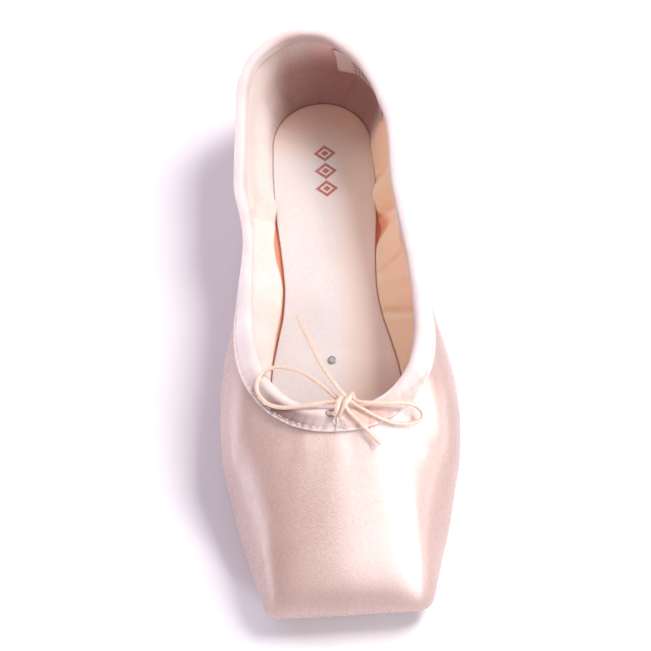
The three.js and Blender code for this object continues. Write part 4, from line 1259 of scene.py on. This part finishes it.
label = {"from": 78, "endX": 4.0, "tops": (10, 5.5), "width": 16, "off": (0.8, 0.35), "rows": 9,
         "printPlace": (10.4, 27, 0), "printHalf": 5,
         "print": {"Wide": 1.3, "Tall": 1.1, "PitchX": 2.7, "PitchY": 2.3, "Reach": 18.0}}


def labelMaterial():
    material, tree, shader = newMaterial("label", {"Roughness": 0.6, "Sheen Weight": 0.2})
    place = clothUv(tree)
    weave = useGroup(tree, threads, place, Pitch=0.4, Slant=0.0, Wander=0.1)
    base = mixColours(tree, calc(tree, "MULTIPLY", weave["Mask"], 0.25), colour("#e4ccc7"), colour("#cdb3ae"))
    offCentre = moved(tree, place, label["printPlace"])
    printed = useGroup(tree, lozenges, offCentre, **label["print"])["Mask"]
    across = calc(tree, "ABSOLUTE", addNode(tree, "SeparateXYZ", {0: offCentre}).outputs["X"])
    inStrip = calc(tree, "LESS_THAN", across, label["printHalf"])
    ink = calc(tree, "MULTIPLY", calc(tree, "MULTIPLY", printed, inStrip), 0.95)
    base = mixColours(tree, ink, base, colour("#432b33"))
    tree.links.new(base, shader.inputs["Base Color"])
    bumpInto(tree, shader, (weave["Height"], 0.05, 0.5))
    return material


def addLabel(material):
    # Down the lining from just under the casing on the face, and back up behind it, for the heel's columns.
    rim = liningSkin[:, -1]
    pick = (columnSide > 0) & (rim[:, 1] > label["from"]) & (rim[:, 0] > label["endX"])
    walls = liningSkin[pick][:, ::-1]
    normal = smoothNormal[pick, -1:]
    rim = rim[pick]
    fromEnd = arcsOf(rim[::-1])[::-1]
    first, last = label["tops"]
    tops = first + (last - first) * smoothStep(fromEnd / 14)
    across = np.linspace(0, label["width"], label["rows"])
    down = tops[:, None] + across
    face = alongLines(walls, down) - normal * label["off"][0]
    back = alongLines(walls, down[:, ::-1]) - normal * label["off"][1]
    rings = np.concatenate([face, back], 1)
    count, around = rings.shape[:2]
    faces = stackFaces(count, around)
    across = np.concatenate([across, across[::-1]])
    ends = np.append(across[1:], across[0])
    uv = ringUv(across, ends, np.broadcast_to(fromEnd[:, None], (count, around)))
    uv = np.concatenate([uv, np.zeros((len(faces) - len(uv), 4, 2))])
    made = makeObject("heel_label", rings.reshape(-1, 3), faces, [material], uv)
    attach(made, "root")
    print("label has", len(faces) * 2, "triangles")


addLabel(labelMaterial())


# Insole: a twill-covered board with rounded edges, lying on the lasted margin

insole = {"edgeRound": 0.7, "rings": 14, "warmLightRight": (0, 14),
          "warmShadeHeel": (82, 104), "shadeFront": (-14, -44), "shadeFrontX": (-14, 20),
          "ornamentPlace": (0.9, 76.5, 0), "ornamentHalf": 9.0,
          "ornament": {"Wide": 4.9, "Tall": 4.3, "PitchY": 9.2, "Reach": 13.8}}


def insoleMaterial():
    material, tree, shader = newMaterial("twill", {"Roughness": 0.9, "Sheen Weight": 0.15})
    place = inMillimetres(tree)
    weave = useGroup(tree, threads, place, Pitch=0.8, Slant=-1.0, Wander=0.25, Cross=0.2)
    slub = useGroup(tree, streaks, place, Scale=1.2, Stretch=2.0)["Value"]
    cloud = noise(tree, place, 0.03, 4)
    base = mixColours(tree, ramp(tree, cloud, 0.3, 0.7), colour("#e0dfe0"), colour("#eaeaeb"))
    base = mixColours(tree, calc(tree, "MULTIPLY", weave["Mask"], 0.55), base, colour("#bf9f96"))
    base = mixColours(tree, ramp(tree, slub, 0.4, 0.8, 0.0, 0.2), base, colour("#c9a295"))
    parts = addNode(tree, "SeparateXYZ", {0: place}).outputs
    # Painted light and shade: the shaded right side is lifted towards pale peach as painted warm light, the
    # heel is tinted as painted warm shade, and the front right is darkened as painted shade under the casing
    # and bow.
    base = mixColours(tree, ramp(tree, parts["X"], *insole["warmLightRight"], 0.0, 0.8), base, colour("#ffe8d6"))
    base = mixColours(tree, ramp(tree, parts["Y"], *insole["warmShadeHeel"], 0.0, 0.65), base, colour("#f2bfa2"))
    front = calc(tree, "MULTIPLY", ramp(tree, parts["Y"], *insole["shadeFront"], 0.0, 1.0),
                 ramp(tree, parts["X"], *insole["shadeFrontX"], 0.2, 0.8))
    base = mixColours(tree, front, base, colour("#bb9381"))
    offCentre = moved(tree, place, insole["ornamentPlace"])
    printed = useGroup(tree, lozenges, offCentre, **insole["ornament"])["Mask"]
    inSpine = calc(tree, "LESS_THAN", calc(tree, "ABSOLUTE", parts["X"]), insole["ornamentHalf"])
    rubbed = ramp(tree, slub, 0.25, 0.6, 1.0, 0.8)
    ink = calc(tree, "MULTIPLY", calc(tree, "MULTIPLY", printed, inSpine), rubbed)
    base = mixColours(tree, ink, base, colour("#a8432c"))
    tree.links.new(base, shader.inputs["Base Color"])
    bumpInto(tree, shader, (cloud, 0.6, 0.3), (weave["Height"], 0.12, 0.7), (slub, 0.1, 0.4))
    return material


def offsetLine(ring, distance):
    # A closed outline (n, 2) moved outwards in the plane
    along = unit(np.roll(ring, -1, axis=0) - np.roll(ring, 1, axis=0))
    return ring + distance * np.stack([along[:, 1], -along[:, 0]], 1)


def lifted(ring, height):
    return np.concatenate([ring, height(ring[:, 1])[:, None]], 1)


def insetRings(ring, count):
    # Rings towards the spine: x shrinks to nothing and y by as much as the outline's own roundness.
    share = np.linspace(0, 0.93, count)[1:, None]
    middle = (ring[:, 1].max() + ring[:, 1].min()) / 2
    x = ring[None, :, 0] * (1 - share)
    y = middle + (ring[None, :, 1] - middle) * (1 - 0.2 * share)
    return np.stack([x, y], -1)


def roundedEdge(ring, radius, height, sign):
    # Rings round a quarter circle: radius * (1 - cos a) inwards and sign * radius * (1 - sin a) off the
    # height
    return [lifted(offsetLine(ring, -radius * (1 - np.cos(a))), height)
            + [0, 0, sign * radius * (1 - np.sin(a))] for a in np.linspace(0, np.pi / 2, 5)]


def addInsole(material):
    flange = aroundShoe("insole")
    plug = offsetLine(aroundShoe("opening"), -shoe["seatGap"])
    radius = insole["edgeRound"]

    def seat(y):
        return insoleTop(y) - shoe["insoleThickness"]

    rings = [lifted(plug, lambda y: soleTop(y) + shoe["seatGap"]), lifted(plug, seat), lifted(flange, seat)]
    rings += roundedEdge(flange, radius, insoleTop, -1)
    for ring in insetRings(offsetLine(flange, -radius), insole["rings"]):
        height = insoleTop(ring[:, 1]) + 0.1 * waves(ring[:, 1] + ring[:, 0], 31, 26)
        rings.append(np.column_stack([ring, height]))
    points = np.array(rings)
    made = makeObject("insole_board", points.reshape(-1, 3), stackFaces(*points.shape[:2]), [material])
    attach(made, "root")
    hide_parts("insole")
    print("insole has", columns * len(points) * 2, "triangles")


addInsole(insoleMaterial())


# Outsole: thin leather, rounded below, with a stitch channel near its edge

outsole = {"channelPlace": 3.0, "channelWidth": 0.8, "channelDepth": 0.45, "innerEdge": 5.2, "rings": 12}


def leatherMaterial():
    material, tree, shader = newMaterial("leather", {"Roughness": 0.6, "Specular IOR Level": 0.35})
    place = inMillimetres(tree)
    cloud = noise(tree, place, 0.08, 5, 0.6)
    grain = noise(tree, place, 1.6, 4, 0.6)
    fibre = useGroup(tree, streaks, place, Scale=0.9, Stretch=6.0)["Value"]
    base = mixColours(tree, ramp(tree, cloud, 0.3, 0.7), colour("#b98f70"), colour("#d3ac8d"))
    base = mixColours(tree, ramp(tree, fibre, 0.45, 0.8, 0.0, 0.5), base, colour("#8f684c"))
    tree.links.new(base, shader.inputs["Base Color"])
    tree.links.new(ramp(tree, grain, 0.3, 0.7, 0.5, 0.75), shader.inputs["Roughness"])
    bumpInto(tree, shader, (cloud, 0.6, 0.3), (grain, 0.15, 0.6))
    return material


def addOutsole(material):
    edge = offsetLine(aroundShoe("opening"), shoe["soleOverlap"])
    radius = shoe["soleEdge"]
    rings = [lifted(edge, soleTop)] + roundedEdge(edge, radius, floorRise, 1)
    bottom = offsetLine(edge, -radius)
    for off in (-1.4, -0.4, 0, 0.4, 1.2):
        groove = outsole["channelDepth"] * bell(off, outsole["channelWidth"] / 2)
        ring = offsetLine(bottom, -outsole["channelPlace"] - off)
        rings.append(lifted(ring, floorRise) + [0, 0, groove])
    inner = offsetLine(bottom, -outsole["innerEdge"])
    rings += [lifted(ring, floorRise) for ring in insetRings(inner, outsole["rings"])]
    points = np.array(rings[::-1])
    made = makeObject("outsole_leather", points.reshape(-1, 3), stackFaces(*points.shape[:2]), [material])
    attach(made, "root")
    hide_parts("outsole")


addOutsole(leatherMaterial())


# Tack: a flat nail head with a bevel, filed marks in its material

def steelMaterial():
    material, tree, shader = newMaterial("steel", {"Metallic": 0.6})
    place = inMillimetres(tree)
    scratch = noise(tree, place, 2.2, 4, 0.7)
    base = mixColours(tree, ramp(tree, scratch, 0.35, 0.65), colour("#6b6766"), colour("#989393"))
    tree.links.new(base, shader.inputs["Base Color"])
    tree.links.new(ramp(tree, scratch, 0.3, 0.7, 0.55, 0.8), shader.inputs["Roughness"])
    bumpInto(tree, shader, (scratch, 0.12, 0.8))
    return material


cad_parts["tack"].data.materials.clear()
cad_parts["tack"].data.materials.append(steelMaterial())


# Floor and light

light = {"floor": "#f4f2f6", "sky": "#f0e0de", "skyStrength": 0.41, "target": (0, -10, 20)}
# Place in mm, size across and along the shoe in m, power in W, colour, and whether only gloss sees it
lamps = {
    "key": ((510, 290, 930), (0.38, 0.38), 10.5, "#fffbf8", False),
    "fill": ((-650, 1100, 900), (1.6, 1.4), 12, "#e0e0ff", False),
    "sheet": ((600, -465, 830), (0.9, 1.55), 50, "#ffffff", True),
    "top": ((-200, 100, 1000), (0.7, 0.34), 7, "#fff8f6", True),
    "left": ((-900, -180, 14), (0.04, 1.2), 7.0, "#f4f6ff", False),
    "right": ((950, -160, 110), (0.3, 1.2), 6, "#ffffff", True),
    "front": ((230, -430, 24), (0.5, 0.03), 2.3, "#f0f6ff", False),
}


def addFloor():
    material, tree, shader = newMaterial("floor", {"Base Color": colour(light["floor"]), "Roughness": 0.9,
                                                   "Specular IOR Level": 0.1})
    across = np.linspace(-4000, 4000, 9)
    x, y = np.meshgrid(across, across)
    points = np.stack([x.ravel(), y.ravel(), np.zeros(81)], 1)
    floor = makeObject("floor", points, gridFaces(9, 9), [material])


def addLamp(name, place, size, power, code, glossOnly):
    data = bpy.data.lights.new(name, "AREA")
    data.shape = "RECTANGLE"
    data.size, data.size_y = size
    data.energy = power
    data.color = colour(code)[:3]
    lamp = bpy.data.objects.new(name, data)
    lamp.visible_diffuse = not glossOnly
    lamp.visible_camera = False
    spot = np.array(place) * mm
    back = unit(spot - np.array(light["target"]) * mm)
    side = unit(np.cross([0, 1, 0], back))
    matrix = np.eye(4)
    matrix[:3, :3] = np.stack([side, np.cross(back, side), back], 1)
    matrix[:3, 3] = spot
    lamp.matrix_world = Matrix(matrix)
    bpy.context.scene.collection.objects.link(lamp)


def addWorld():
    world = bpy.data.worlds.new("studio")
    world.use_nodes = True
    sky = world.node_tree.nodes["Background"]
    sky.inputs["Color"].default_value = colour(light["sky"])
    sky.inputs["Strength"].default_value = light["skyStrength"]
    bpy.context.scene.world = world
    bpy.context.scene.view_settings.view_transform = "Standard"


addFloor()
for name, (place, size, power, code, glossOnly) in lamps.items():
    addLamp(name, place, size, power, code, glossOnly)
addWorld()
print("floor and light are in place")
